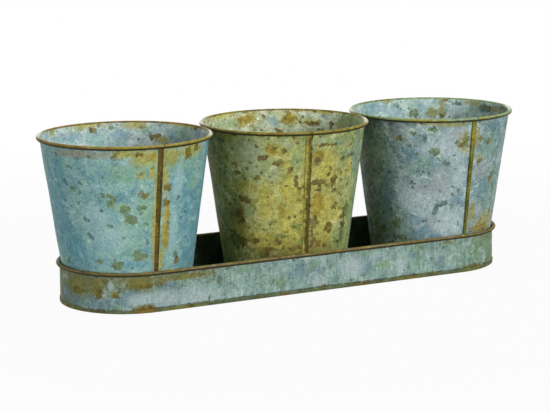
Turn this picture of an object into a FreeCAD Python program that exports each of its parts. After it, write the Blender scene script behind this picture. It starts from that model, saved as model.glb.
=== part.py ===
"""Indoor herb planter: three tapered sheet-steel pots standing in an oblong drip tray.

Every pot is a rolled cone of thin galvanised sheet, closed by a folded lock seam. Its top edge
is curled outwards round a steel wire and its foot is folded inwards round the skirt of a
pressed base, which has a drain hole. The tray is a low band with the same wired edge, bent to
an oblong with round ends and set into a flat floor whose edge turns up round it.

Lengths are millimetres and angles are degrees. The origin is on the ground under the middle
pot, +Z is up, +X runs along the row of pots to the right and -Y is the front.
"""
import FreeCAD, Part
import math
import os

import Sketcher
from FreeCAD import Placement, Rotation, Vector

SIZES = [
    ("sheet_gauge", 0.4, "thickness of the galvanised sheet"),
    ("crimp_gap", 0.05, "play left in a folded joint"),
    ("wire_diameter", 1.4, "steel wire inside every rolled edge"),
    ("wire_play", 0.12, "radial play between a wire and the curl round it"),
    ("curl_lip_angle", 60.0, "how far under the wire the curl comes back to the wall"),
    ("fold_radius", 0.3, "outside radius of a flattened fold"),
    ("bend_radius", 0.4, "inside radius of a pressed corner"),
    ("seam_layers", 4.0, "layers of sheet in a lock seam"),
    ("seam_width", 3.5, "width of a lock seam"),
    ("seam_edge_radius", 0.25, "rounding along the outer edges of a lock seam"),
    ("pot_rim_diameter", 108.0, "over the rolled rim of a pot"),
    ("pot_base_diameter", 75.6, "outside of a pot at its foot"),
    ("pot_height", 103.0, "from a pot's foot to the top of its rim"),
    ("pot_base_recess", 3.0, "from a pot's foot to the underside of its base"),
    ("drain_hole_diameter", 8.0, "hole in the middle of a pot's base"),
    ("pot_rim_gap", 2.0, "between the rims of two pots"),
    ("left_seam_angle", -88.5, "turn of the left pot about its own axis"),
    ("middle_seam_angle", -100.5, "turn of the middle pot about its own axis"),
    ("right_seam_angle", -89.0, "turn of the right pot about its own axis"),
    ("tray_height", 25.4, "from the ground to the top of the tray's rim"),
    ("pot_to_tray_gap", 0.3, "between a pot's seam and the tray's wall"),
    ("tray_lip_height", 2.2, "upturned edge of the tray's floor"),
]

# Expressions in the sheet's names. Each is used for the first drawing and for the constraint.
GAUGE = "sizes.sheet_gauge"
GAP = "sizes.crimp_gap"
CURL_RADIUS = "(sizes.wire_diameter / 2 + sizes.wire_play)"
BEAD_RADIUS = f"({CURL_RADIUS} + {GAUGE})"
CURL_MIDDLE = f"({CURL_RADIUS} + {GAUGE} / 2)"
SLOT_WIDTH = f"({GAUGE} + 2 * {GAP})"
SEAM_RISE = f"((sizes.seam_layers - 1) / 2 * {GAUGE})"

POT_FOOT_RADIUS = "(sizes.pot_base_diameter / 2)"
POT_RIM_RING = f"(sizes.pot_rim_diameter / 2 - {BEAD_RADIUS})"
POT_RIM_LEVEL = f"(sizes.pot_height - {BEAD_RADIUS})"
POT_SLOPE = f"(({POT_RIM_RING} - {CURL_RADIUS} - {POT_FOOT_RADIUS}) / {POT_RIM_LEVEL})"
POT_HEM_TOP = f"(sizes.pot_base_recess - sizes.bend_radius - {GAP})"
SKIRT_DEPTH = f"({GAUGE} + {GAP})"
OUTER_SEAM_START = "sizes.fold_radius"
INNER_SEAM_START = f"(sizes.pot_base_recess + {GAUGE} + {GAP})"

POT_SPACING = "(sizes.pot_rim_diameter + sizes.pot_rim_gap)"
POT_RADIUS_IN_TRAY = f"({POT_FOOT_RADIUS} + {POT_SLOPE} * (sizes.tray_height - {GAUGE}))"
TRAY_INNER_RADIUS = f"({POT_RADIUS_IN_TRAY} + {SEAM_RISE} + sizes.pot_to_tray_gap)"
TRAY_OUTER_RADIUS = f"({TRAY_INNER_RADIUS} + {GAUGE})"
# The pots' seams face front, so each round end can close in by a seam's rise.
TRAY_END_SPACING = f"({POT_SPACING} - {SEAM_RISE})"
TRAY_SEAM_PLACE = f"({POT_SPACING} / 2)"
TRAY_RIM_RING = f"({TRAY_INNER_RADIUS} + {BEAD_RADIUS})"
TRAY_RIM_LEVEL = f"(sizes.tray_height - {BEAD_RADIUS})"
TRAY_LIP_INSIDE = f"({TRAY_OUTER_RADIUS} + {GAP})"
TRAY_LIP_OUTSIDE = f"({TRAY_LIP_INSIDE} + {GAUGE})"

# Sketcher counts a line's points from 1, and the sketch's own axes down from -1.
START, END, CENTRE = range(1, 4)
HORIZONTAL_AXIS, VERTICAL_AXIS = range(-1, -3, -1)
ORIGIN_POINT = (HORIZONTAL_AXIS, START)
NEAR = 1e-4  # two places closer than this are the same place

doc = FreeCAD.newDocument("herb_planter")
sheet = doc.addObject("Spreadsheet::Sheet", "sizes")
for row, (alias, size, meaning) in enumerate(SIZES, start=1):
    sheet.set(f"A{row}", meaning)
    sheet.set(f"B{row}", str(size))
    sheet.setAlias(f"B{row}", alias)
doc.recompute()


def value(expression):
    """The present value of an expression of the sheet, as a plain number."""
    result = sheet.evalExpression(expression)
    return float(getattr(result, "Value", result))


def make_body(name):
    body = doc.addObject("PartDesign::Body", name)
    body.Label = name
    return body


def sketch_on(body, name, plane):
    """An empty sketch on one of the body's own origin planes."""
    sketch = body.newObject("Sketcher::SketchObject", name)
    face = next(f for f in body.Origin.OriginFeatures if f.Role == plane)
    sketch.AttachmentSupport = (face, [""])
    sketch.MapMode = "FlatFace"
    return sketch


def flat(x, y):
    return Vector(x, y, 0)


def add_line(sketch, start, end, construction=False):
    return sketch.addGeometry(Part.LineSegment(flat(*start), flat(*end)), construction)


def add_arc(sketch, centre, radius, start_angle, end_angle):
    circle = Part.Circle(flat(*centre), Vector(0, 0, 1), radius)
    return sketch.addGeometry(Part.ArcOfCircle(circle, start_angle, end_angle))


def rule(sketch, kind, *where):
    """A geometric constraint, such as Parallel or Coincident."""
    sketch.addConstraint(Sketcher.Constraint(kind, *where))


def dimension(sketch, kind, where, expression, name):
    """A dimension that follows an expression of the sheet."""
    index = sketch.addConstraint(Sketcher.Constraint(kind, *where, value(expression)))
    sketch.renameConstraint(index, name)
    sketch.setExpression("Constraints." + name, expression)


def angle_dimension(sketch, line, expression, name):
    """The angle of a line above the horizontal, in degrees in the sheet."""
    radians = math.radians(value(expression))
    index = sketch.addConstraint(Sketcher.Constraint("Angle", line, radians))
    sketch.renameConstraint(index, name)
    sketch.setExpression("Constraints." + name, expression + " * 1 deg")


def join(sketch, *ends):
    """Makes each pair of line ends one point."""
    for (first, first_end), (second, second_end) in zip(ends[::2], ends[1::2]):
        rule(sketch, "Coincident", first, first_end, second, second_end)


class WallLine:
    """The outside line of a wall, from its foot to where it meets the curl, and points beside it.

    The foot is a point, and the line just touches the inside of the curl on the axis side, so
    its lean follows from the two. This works out where the line is before it is drawn.
    """

    def __init__(self, foot_radius, foot_level, ring, level):
        self.foot = (value(foot_radius), value(foot_level))
        self.centre = (value(ring), value(level))
        reach = [c - f for c, f in zip(self.centre, self.foot)]
        lean = math.atan2(*reach) - math.asin(value(CURL_RADIUS) / math.hypot(*reach))
        self.lean = lean
        self.along = (math.sin(lean), math.cos(lean))
        self.out = (math.cos(lean), -math.sin(lean))

    def beside_centre(self, inwards):
        """The point of the line, moved inwards, that is level with the curl's centre."""
        return tuple(c - inwards * o for c, o in zip(self.centre, self.out))

    def at_level(self, level, inwards=0.0):
        """The point at a level, on the line moved inwards by a depth."""
        across = self.foot[0] - inwards * self.out[0]
        up = self.foot[1] - inwards * self.out[1]
        step = (level - up) / self.along[1]
        return (across + step * self.along[0], up + step * self.along[1])


def draw_wall_line(sketch, wall, foot_radius, foot_level, ring, level, construction=True):
    """The wall's outside line and the curl's inside circle, for other lines to be set from."""
    line = add_line(sketch, wall.foot, wall.at_level(wall.centre[1]), construction)
    circle = sketch.addGeometry(
        Part.Circle(flat(*wall.centre), Vector(0, 0, 1), value(CURL_RADIUS)), True
    )
    rule(sketch, "Tangent", line, circle)
    rule(sketch, "Horizontal", line, END, circle, CENTRE)
    dimension(sketch, "Radius", (circle,), CURL_RADIUS, "curl_radius")
    dimension(sketch, "DistanceX", (*ORIGIN_POINT, circle, CENTRE), ring, "rim_ring")
    dimension(sketch, "DistanceY", (*ORIGIN_POINT, circle, CENTRE), level, "rim_level")
    dimension(sketch, "DistanceX", (*ORIGIN_POINT, line, START), foot_radius, "foot_radius")
    place_level(sketch, line, START, foot_level, "foot_level")
    return line


def place_level(sketch, line, end, level, name):
    """Holds a line's end at a level, or on the horizontal axis where the level is zero."""
    if level == "0":
        rule(sketch, "PointOnObject", line, end, HORIZONTAL_AXIS)
    else:
        dimension(sketch, "DistanceY", (*ORIGIN_POINT, line, end), level, name)


def draw_curled_wall(sketch, wall, foot_radius, foot_level, ring, level, inner_level):
    """A wall one gauge thick whose top curls outwards round the wire.

    Returns its outside line, which starts at the foot, and its inside line, which ends at
    inner_level. The caller closes the outline between these two points.
    """
    small, large = value(CURL_RADIUS), value(BEAD_RADIUS)
    lip = math.radians(value("sizes.curl_lip_angle"))
    lip_start = lip - math.pi
    touch = math.pi - wall.lean

    def on_curl(radius):
        cx, cy = wall.centre
        return (cx + radius * math.cos(lip_start), cy + radius * math.sin(lip_start))

    outside = add_line(sketch, wall.foot, wall.beside_centre(small))
    inner_arc = add_arc(sketch, wall.centre, small, lip_start, touch)
    cap = add_line(sketch, on_curl(large), on_curl(small))
    outer_arc = add_arc(sketch, wall.centre, large, lip_start, touch)
    inside_end = wall.at_level(value(inner_level), value(GAUGE))
    inside = add_line(sketch, wall.beside_centre(large), inside_end)

    rule(sketch, "Tangent", outside, END, inner_arc, END)
    rule(sketch, "Tangent", outer_arc, END, inside, START)
    rule(sketch, "Coincident", inner_arc, CENTRE, outer_arc, CENTRE)
    join(sketch, (inner_arc, START), (cap, END), (cap, START), (outer_arc, START))
    rule(sketch, "PointOnObject", inner_arc, CENTRE, cap)
    rule(sketch, "Parallel", outside, inside)
    dimension(sketch, "Radius", (inner_arc,), CURL_RADIUS, "curl_radius")
    dimension(sketch, "Radius", (outer_arc,), BEAD_RADIUS, "bead_radius")
    dimension(sketch, "DistanceX", (*ORIGIN_POINT, inner_arc, CENTRE), ring, "rim_ring")
    dimension(sketch, "DistanceY", (*ORIGIN_POINT, inner_arc, CENTRE), level, "rim_level")
    angle_dimension(sketch, cap, "sizes.curl_lip_angle", "lip_angle")
    dimension(sketch, "DistanceX", (*ORIGIN_POINT, outside, START), foot_radius, "foot_radius")
    place_level(sketch, outside, START, foot_level, "foot_level")
    dimension(sketch, "DistanceY", (*ORIGIN_POINT, inside, END), inner_level, "inner_level")
    return outside, inside


def revolve(body, sketch, name):
    turned = body.newObject("PartDesign::Revolution", name)
    turned.Profile = sketch
    turned.ReferenceAxis = (sketch, ["V_Axis"])
    full_turn = 360
    turned.Angle = full_turn
    doc.recompute()
    return turned


def pad(body, sketch, name, length):
    block = body.newObject("PartDesign::Pad", name)
    block.Profile = sketch
    block.setExpression("Length", length)
    doc.recompute()
    return block


def pipe(body, profile, path, name):
    swept = body.newObject("PartDesign::AdditivePipe", name)
    swept.Profile = profile
    swept.Spine = (path, [])
    doc.recompute()
    return swept


def edges_where(feature, test):
    """The names of a feature's edges for which test(edge) is true."""
    edges = enumerate(feature.Shape.Edges, start=1)
    return [f"Edge{number}" for number, edge in edges if test(edge)]


def round_edges(body, feature, test, radius, name):
    rounded = body.newObject("PartDesign::Fillet", name)
    rounded.Base = (feature, edges_where(feature, test))
    rounded.setExpression("Radius", radius)
    doc.recompute()
    return rounded


def is_circle(edge, level, radius):
    """Whether an edge is a circle about the vertical axis at that level and of that radius."""
    curve = edge.Curve
    if not isinstance(curve, Part.Circle):
        return False
    return abs(curve.Center.z - level) < NEAR and abs(curve.Radius - radius) < NEAR


POT_PLACE = (POT_FOOT_RADIUS, "0", POT_RIM_RING, POT_RIM_LEVEL)


def make_pot_wall(name):
    """The pot's cone: wired rim, lock seam, and a foot folded inwards and up into a slot."""
    body = make_body(name)
    sketch = sketch_on(body, name + "_section", "XZ_Plane")
    wall = WallLine(*POT_PLACE)
    outside, inside = draw_curled_wall(sketch, wall, *POT_PLACE, GAUGE)

    gauge, slot, hem = value(GAUGE), value(SLOT_WIDTH), value(POT_HEM_TOP)
    slot_corner = wall.at_level(gauge, gauge + slot)
    hem_outer = wall.at_level(hem, gauge + slot)
    hem_inner = wall.at_level(hem, gauge + slot + gauge)
    foot_inner = wall.at_level(0, gauge + slot + gauge)
    floor = add_line(sketch, wall.at_level(gauge, gauge), slot_corner)
    hem_outside = add_line(sketch, slot_corner, hem_outer)
    hem_top = add_line(sketch, hem_outer, hem_inner)
    hem_inside = add_line(sketch, hem_inner, foot_inner)
    foot = add_line(sketch, foot_inner, wall.foot)
    join(
        sketch,
        (inside, END), (floor, START),
        (floor, END), (hem_outside, START),
        (hem_outside, END), (hem_top, START),
        (hem_top, END), (hem_inside, START),
        (hem_inside, END), (foot, START),
        (foot, END), (outside, START),
    )
    rule(sketch, "Horizontal", floor)
    rule(sketch, "Horizontal", hem_top)
    rule(sketch, "Parallel", outside, hem_outside)
    rule(sketch, "Parallel", outside, hem_inside)
    rule(sketch, "PointOnObject", hem_inside, END, HORIZONTAL_AXIS)
    dimension(sketch, "Distance", (floor, END, inside), SLOT_WIDTH, "slot_width")
    dimension(sketch, "Distance", (hem_top, END, hem_outside), GAUGE, "hem_gauge")
    dimension(sketch, "DistanceY", (*ORIGIN_POINT, hem_top, START), POT_HEM_TOP, "hem_top")
    cone = revolve(body, sketch, name + "_cone")

    foot_radii = (wall.foot[0], foot_inner[0])
    round_edges(
        body, cone, lambda edge: any(is_circle(edge, 0, r) for r in foot_radii),
        "sizes.fold_radius", name + "_fold",
    )
    add_pot_seam(body, name, wall)
    return body


def draw_rib(sketch, core, face):
    """Half of a lock seam in plan: a bar from inside the sheet to its rounded outer face.

    The sketch's own horizontal axis runs out through the wall. core and face are the places
    along it of the bar's root and of its outer face, which may lie on either side of the core.
    """
    root, front = value(core), value(face)
    half, radius = value("sizes.seam_width / 2"), value("sizes.seam_edge_radius")
    side = 1 if front > root else -1
    shoulder = front - side * radius
    quarter = math.pi / 2
    right_arc_turn = (-quarter, 0) if side > 0 else (math.pi, math.pi + quarter)
    left_arc_turn = (0, quarter) if side > 0 else (quarter, math.pi)
    root_line = add_line(sketch, (root, half), (root, -half))
    right_flank = add_line(sketch, (root, -half), (shoulder, -half))
    right_arc = add_arc(sketch, (shoulder, radius - half), radius, *right_arc_turn)
    face_line = add_line(sketch, (front, radius - half), (front, half - radius))
    left_arc = add_arc(sketch, (shoulder, half - radius), radius, *left_arc_turn)
    left_flank = add_line(sketch, (shoulder, half), (root, half))
    toward, away = (START, END) if side > 0 else (END, START)
    join(sketch, (root_line, END), (right_flank, START), (left_flank, END), (root_line, START))
    rule(sketch, "Tangent", right_flank, END, right_arc, toward)
    rule(sketch, "Tangent", right_arc, away, face_line, START)
    rule(sketch, "Tangent", face_line, END, left_arc, toward)
    rule(sketch, "Tangent", left_arc, away, left_flank, START)
    rule(sketch, "Vertical", root_line)
    rule(sketch, "Vertical", face_line)
    rule(sketch, "Horizontal", right_flank)
    rule(sketch, "Horizontal", left_flank)
    rule(sketch, "Equal", right_arc, left_arc)
    dimension(sketch, "Radius", (right_arc,), "sizes.seam_edge_radius", "edge_radius")
    dimension(sketch, "DistanceY", (root_line, END, root_line, START), "sizes.seam_width", "width")
    dimension(
        sketch, "DistanceY", (*ORIGIN_POINT, root_line, START), "sizes.seam_width / 2", "half_width"
    )
    dimension(sketch, "DistanceX", (*ORIGIN_POINT, root_line, START), core, "core")
    dimension(sketch, "DistanceX", (*ORIGIN_POINT, face_line, START), face, "face")


def add_seam_half(body, name, start, top, outside, faces_out, lean=None, across=None):
    """The outer or the inner half of a lock seam, from one level up to another.

    outside is the radius of the sheet's outer skin at the start. The rib leans along the first
    edge of the sketch lean, and one at a place across the object faces back instead of right.
    """
    core = f"({outside} - {GAUGE} / 2)"
    face = f"({outside} + {SEAM_RISE})" if faces_out else f"({outside} - {GAUGE} - {SEAM_RISE})"
    sketch = sketch_on(body, name + "_section", "XY_Plane")
    if across:
        quarter_turn = 90
        sketch.AttachmentOffset = Placement(Vector(), Rotation(Vector(0, 0, 1), quarter_turn))
        sketch.setExpression("AttachmentOffset.Base.x", across)
    sketch.setExpression("AttachmentOffset.Base.z", start)
    draw_rib(sketch, core, face)
    rib = body.newObject("PartDesign::Pad", name)
    rib.Profile = sketch
    if lean:
        rib.ReferenceAxis = (lean, ["Edge1"])
        rib.AlongSketchNormal = True
    rib.setExpression("Length", f"{top} - {start}")
    doc.recompute()


def add_pot_seam(body, name, wall):
    """The lock seam down the wall, proud of it by the same amount outside and inside.

    Both halves lean with the wall and run up into the curl. The inner one starts above the base.
    """
    lean = sketch_on(body, name + "_lean", "XZ_Plane")
    draw_wall_line(lean, wall, *POT_PLACE, construction=False)
    top = f"({POT_RIM_LEVEL} - {CURL_MIDDLE})"
    halves = (("_outer_seam", OUTER_SEAM_START, True), ("_inner_seam", INNER_SEAM_START, False))
    for half, start, faces_out in halves:
        outside = f"({POT_FOOT_RADIUS} + {POT_SLOPE} * {start})"
        add_seam_half(body, name + half, start, top, outside, faces_out, lean=lean)


def make_pot_base(name):
    """The pressed base: a flat disc whose skirt hangs down into the slot of the wall's foot."""
    body = make_body(name)
    sketch = sketch_on(body, name + "_section", "XZ_Plane")
    wall = WallLine(*POT_PLACE)
    line = draw_wall_line(sketch, wall, *POT_PLACE)
    gauge, depth, recess = value(GAUGE), value(SKIRT_DEPTH), value("sizes.pot_base_recess")
    corners = [
        (0, recess),
        (0, recess + gauge),
        wall.at_level(recess + gauge, depth),
        wall.at_level(depth, depth),
        wall.at_level(depth, depth + gauge),
        wall.at_level(recess, depth + gauge),
    ]
    ends = corners[1:] + corners[:1]
    axis, top, skirt_outside, skirt_end, skirt_inside, underside = [
        add_line(sketch, *pair) for pair in zip(corners, ends)
    ]
    ring = [axis, top, skirt_outside, skirt_end, skirt_inside, underside]
    for first, second in zip(ring, ring[1:] + ring[:1]):
        rule(sketch, "Coincident", first, END, second, START)
    for level_line in (top, skirt_end, underside):
        rule(sketch, "Horizontal", level_line)
    for leaning in (skirt_outside, skirt_inside):
        rule(sketch, "Parallel", line, leaning)
    for end in (START, END):
        rule(sketch, "PointOnObject", axis, end, VERTICAL_AXIS)
    dimension(sketch, "DistanceY", (axis, START, axis, END), GAUGE, "base_gauge")
    dimension(sketch, "DistanceY", (*ORIGIN_POINT, axis, START), "sizes.pot_base_recess", "recess")
    dimension(sketch, "Distance", (top, END, line), SKIRT_DEPTH, "skirt_depth")
    dimension(sketch, "DistanceY", (*ORIGIN_POINT, skirt_end, START), SKIRT_DEPTH, "skirt_end")
    dimension(sketch, "Distance", (skirt_end, END, skirt_outside), GAUGE, "skirt_gauge")
    disc = revolve(body, sketch, name + "_pressing")

    outer_corner, inner_corner = corners[2][0], corners[5][0]
    outer_bend = round_edges(
        body, disc, lambda edge: is_circle(edge, recess + gauge, outer_corner),
        f"sizes.bend_radius + {GAUGE}", name + "_outer_bend",
    )
    inner_bend = round_edges(
        body, outer_bend, lambda edge: is_circle(edge, recess, inner_corner),
        "sizes.bend_radius", name + "_inner_bend",
    )
    add_drain_hole(body, name, inner_bend)
    return body


def add_drain_hole(body, name, base):
    sketch = sketch_on(body, name + "_drain_outline", "XY_Plane")
    radius = "sizes.drain_hole_diameter / 2"
    circle = sketch.addGeometry(Part.Circle(flat(0, 0), Vector(0, 0, 1), value(radius)))
    rule(sketch, "Coincident", circle, CENTRE, *ORIGIN_POINT)
    dimension(sketch, "Radius", (circle,), radius, "drain_radius")
    before = base.Shape.Volume
    hole = body.newObject("PartDesign::Pocket", name + "_drain")
    hole.Profile = sketch
    hole.Type = "ThroughAll"
    hole.Reversed = True
    doc.recompute()
    if not hole.Shape.Volume < before:
        raise RuntimeError(name + ": the drain hole cut nothing")


def make_ring_wire(name):
    """The wire inside a pot's rim."""
    wire = doc.addObject("Part::Torus", name)
    wire.Label = name
    wire.setExpression("Radius1", POT_RIM_RING)
    wire.setExpression("Radius2", "sizes.wire_diameter / 2")
    return wire


def draw_oblong(sketch, radius, name, split_back=False):
    """An oblong about the origin with round ends. Its back can be two lines that meet at x = 0."""
    reach, size = value(TRAY_END_SPACING), value(radius)
    quarter = math.pi / 2
    right = add_arc(sketch, (reach, 0), size, -quarter, quarter)
    left = add_arc(sketch, (-reach, 0), size, quarter, 3 * quarter)
    front = add_line(sketch, (-reach, -size), (reach, -size))
    rule(sketch, "Tangent", front, END, right, START)
    rule(sketch, "Tangent", left, END, front, START)
    if split_back:
        back_right = add_line(sketch, (reach, size), (0, size))
        back_left = add_line(sketch, (0, size), (-reach, size))
        rule(sketch, "Coincident", back_right, END, back_left, START)
        rule(sketch, "PointOnObject", back_right, END, VERTICAL_AXIS)
        rule(sketch, "Tangent", right, END, back_right, START)
        rule(sketch, "Tangent", back_left, END, left, START)
        rule(sketch, "Horizontal", back_left)
    else:
        back = add_line(sketch, (reach, size), (-reach, size))
        rule(sketch, "Tangent", right, END, back, START)
        rule(sketch, "Tangent", back, END, left, START)
    rule(sketch, "Equal", left, right)
    rule(sketch, "Symmetric", left, CENTRE, right, CENTRE, *ORIGIN_POINT)
    rule(sketch, "PointOnObject", right, CENTRE, HORIZONTAL_AXIS)
    dimension(sketch, "Radius", (right,), radius, name + "_radius")
    ends_apart = f"2 * {TRAY_END_SPACING}"
    dimension(sketch, "DistanceX", (left, CENTRE, right, CENTRE), ends_apart, name + "_ends")


def make_tray_wall(name):
    """The tray's band, wired along its top and standing on the floor."""
    body = make_body(name)
    path = sketch_on(body, name + "_path", "XY_Plane")
    draw_oblong(path, TRAY_RIM_RING, "path", split_back=True)
    sketch = sketch_on(body, name + "_section", "YZ_Plane")
    place = (TRAY_OUTER_RADIUS, GAUGE, TRAY_RIM_RING, TRAY_RIM_LEVEL)
    wall = WallLine(*place)
    outside, inside = draw_curled_wall(sketch, wall, *place, GAUGE)
    foot = add_line(sketch, wall.at_level(value(GAUGE), value(GAUGE)), wall.foot)
    join(sketch, (inside, END), (foot, START), (foot, END), (outside, START))
    pipe(body, sketch, path, name + "_band")
    add_tray_seam(body, name)
    return body


def add_tray_seam(body, name):
    """The lock seam in the tray's back wall, between two pots, where there is room for it.

    Both halves run up into the curl. The outer one starts above the floor's lip.
    """
    top = f"({TRAY_RIM_LEVEL} - {CURL_MIDDLE})"
    above_lip = f"(sizes.tray_lip_height + {GAP})"
    above_floor = f"({GAUGE} + {GAP})"
    halves = (("_outer_seam", above_lip, True), ("_inner_seam", above_floor, False))
    for half, start, faces_out in halves:
        add_seam_half(
            body, name + half, start, top, TRAY_OUTER_RADIUS, faces_out, across=TRAY_SEAM_PLACE
        )


def make_tray_wire(name):
    """The wire inside the tray's rim, one closed oblong loop."""
    body = make_body(name)
    path = sketch_on(body, name + "_path", "XY_Plane")
    draw_oblong(path, TRAY_RIM_RING, "path", split_back=True)
    sketch = sketch_on(body, name + "_section", "YZ_Plane")
    centre = flat(value(TRAY_RIM_RING), value(TRAY_RIM_LEVEL))
    radius = "sizes.wire_diameter / 2"
    circle = sketch.addGeometry(Part.Circle(centre, Vector(0, 0, 1), value(radius)))
    dimension(sketch, "Radius", (circle,), radius, "wire_radius")
    dimension(sketch, "DistanceX", (*ORIGIN_POINT, circle, CENTRE), TRAY_RIM_RING, "rim_ring")
    dimension(sketch, "DistanceY", (*ORIGIN_POINT, circle, CENTRE), TRAY_RIM_LEVEL, "rim_level")
    pipe(body, sketch, path, name + "_loop")
    return body


def make_tray_floor(name):
    """The tray's flat floor and the lip that turns up round the foot of the wall."""
    body = make_body(name)
    plate_outline = sketch_on(body, name + "_plate_outline", "XY_Plane")
    draw_oblong(plate_outline, TRAY_LIP_OUTSIDE, "plate")
    pad(body, plate_outline, name + "_plate", GAUGE)
    lip_outline = sketch_on(body, name + "_lip_outline", "XY_Plane")
    draw_oblong(lip_outline, TRAY_LIP_OUTSIDE, "lip_outside")
    draw_oblong(lip_outline, TRAY_LIP_INSIDE, "lip_inside")
    lip = pad(body, lip_outline, name + "_lip", "sizes.tray_lip_height")

    outer = value(TRAY_LIP_OUTSIDE)
    reach = value(TRAY_END_SPACING)

    def ground_edge(edge):
        point = edge.valueAt((edge.FirstParameter + edge.LastParameter) / 2)
        past_end = max(abs(point.x) - reach, 0)
        on_outline = abs(math.hypot(past_end, point.y) - outer) < NEAR
        return on_outline and abs(point.z) < NEAR

    round_edges(body, lip, ground_edge, "sizes.fold_radius", name + "_fold")
    return body


def stand(piece, across, up, turn=None):
    """Places a piece in the row, at a height, and turned about its own upright axis."""
    piece.Placement = Placement(Vector(), Rotation(Vector(0, 0, 1), 1))
    piece.setExpression("Placement.Base.x", across)
    piece.setExpression("Placement.Base.z", up)
    piece.setExpression("Placement.Rotation.Angle", turn or "0 deg")


pieces = []
for pot, place in (("left_pot", -1), ("middle_pot", 0), ("right_pot", 1)):
    side = pot.split("_")[0]
    across = f"{place} * {POT_SPACING}"
    turn = f"sizes.{side}_seam_angle * 1 deg"
    pot_wall = make_pot_wall(pot + "_wall")
    pot_base = make_pot_base(pot + "_base")
    rim_wire = make_ring_wire(pot + "_rim_wire")
    stand(pot_wall, across, GAUGE, turn)
    stand(pot_base, across, GAUGE)
    stand(rim_wire, across, f"{GAUGE} + {POT_RIM_LEVEL}")
    pieces += [pot_wall, pot_base, rim_wire]
pieces += [
    make_tray_wall("tray_wall"),
    make_tray_wire("tray_rim_wire"),
    make_tray_floor("tray_floor"),
]
doc.recompute()

for item in doc.Objects:
    if {"Invalid", "Error"} & set(item.State):
        raise RuntimeError(f"{item.Label} failed: {item.State}")
for piece in pieces:
    if piece.Shape.isNull() or not piece.Shape.isValid() or len(piece.Shape.Solids) != 1:
        raise RuntimeError(piece.Label + " is not one valid solid")

os.makedirs("parts", exist_ok=True)
for piece in pieces:
    piece.Shape.exportStep(f"parts/{piece.Label}.step")
    box = piece.Shape.optimalBoundingBox(False)
    size = " x ".join(f"{length:.2f}" for length in (box.XLength, box.YLength, box.ZLength))
    print(f"{piece.Label}: {size} mm, {piece.Shape.Volume:.1f} mm3")
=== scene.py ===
# %% [markdown]
# # Indoor herb planter
# Three tapered pots of thin galvanised sheet stand in a row in an oblong drip tray. The sheet
# has a mottled blue, green and ochre patina. This notebook takes the engineer's model as a
# fixed frame, rolls the visible sheet again as light meshes with the small waves and worn
# joints of the real thing, and gives every piece its finish.
#
# Blender works in metres and a metalworker in millimetres, so sizes below are written in
# millimetres and multiplied by MM where Blender needs them.

import math
from functools import partial

import bmesh
import bpy
from mathutils import Matrix, Vector


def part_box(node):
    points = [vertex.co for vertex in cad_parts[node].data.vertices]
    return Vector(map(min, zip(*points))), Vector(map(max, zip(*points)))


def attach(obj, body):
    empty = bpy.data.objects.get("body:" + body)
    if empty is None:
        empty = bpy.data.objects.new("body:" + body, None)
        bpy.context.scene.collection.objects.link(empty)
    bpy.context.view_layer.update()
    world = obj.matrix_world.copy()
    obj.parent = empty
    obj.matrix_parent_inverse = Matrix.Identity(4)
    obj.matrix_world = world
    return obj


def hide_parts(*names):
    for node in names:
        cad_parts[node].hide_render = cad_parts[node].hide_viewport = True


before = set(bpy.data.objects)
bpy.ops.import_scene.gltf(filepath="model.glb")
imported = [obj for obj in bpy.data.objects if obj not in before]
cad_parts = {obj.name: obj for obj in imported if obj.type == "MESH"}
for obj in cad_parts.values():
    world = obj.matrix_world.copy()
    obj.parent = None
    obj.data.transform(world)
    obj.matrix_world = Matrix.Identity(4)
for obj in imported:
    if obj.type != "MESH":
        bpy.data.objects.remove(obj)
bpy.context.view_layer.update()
MM = 0.001

# %% [markdown]
# ## The camera
# The photograph was taken from the front left with a long lens, a little above the rims. The
# camera stands on a line through the point it aims at, which is written as a turn round the
# object, a height above the horizon and a distance. A long lens far away keeps the three pots
# nearly the same size, as a short one near by would not.

# %% Place the camera
AIM_POINT = Vector((-6.805, 0, 48.102)) * MM
CAMERA_DISTANCE = 1199.865 * MM
CAMERA_TURN = math.radians(-27.3104)
CAMERA_RISE = math.radians(10.9326)
CAMERA_ROLL = math.radians(-0.4599)
LENS = 122.287
SENSOR = 36
SIGHT = (0.05, 20)

bpy.ops.object.camera_add()
camera = bpy.context.object
camera.name = "photographer"
camera.data.lens = LENS
camera.data.sensor_width = SENSOR
camera.data.clip_start, camera.data.clip_end = SIGHT
turned = Matrix.Rotation(CAMERA_TURN, 4, "Z") @ Matrix.Rotation(math.pi / 2 - CAMERA_RISE, 4, "X")
backwards = (turned @ Vector((0, 0, 1, 0))).to_3d()
camera.matrix_world = (
    Matrix.Translation(AIM_POINT + backwards * CAMERA_DISTANCE)
    @ turned
    @ Matrix.Rotation(CAMERA_ROLL, 4, "Z")
)
bpy.context.scene.camera = camera
print("camera at", [round(x / MM) for x in camera.matrix_world.translation], "mm")

# %% [markdown]
# ## Shaping by hand, in code
# Every new piece starts as a primitive and is shaped in edit mode with the tools of the menus.
# A tool acts on all that is selected, so two small helpers come first: one leaves a single
# object selected, and one selects the parts of a mesh that pass a test of their place.

# %% Helpers that select
def only(piece):
    """Back to object mode, with one object selected and active."""
    if bpy.context.mode != "OBJECT":
        bpy.ops.object.mode_set(mode="OBJECT")
    bpy.ops.object.select_all(action="DESELECT")
    piece.select_set(True)
    bpy.context.view_layer.objects.active = piece


def middle_of(item):
    """The middle of a vertex, edge or face, in millimetres."""
    if isinstance(item, bmesh.types.BMVert):
        return item.co / MM
    return sum((corner.co for corner in item.verts), Vector()) / len(item.verts) / MM


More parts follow.
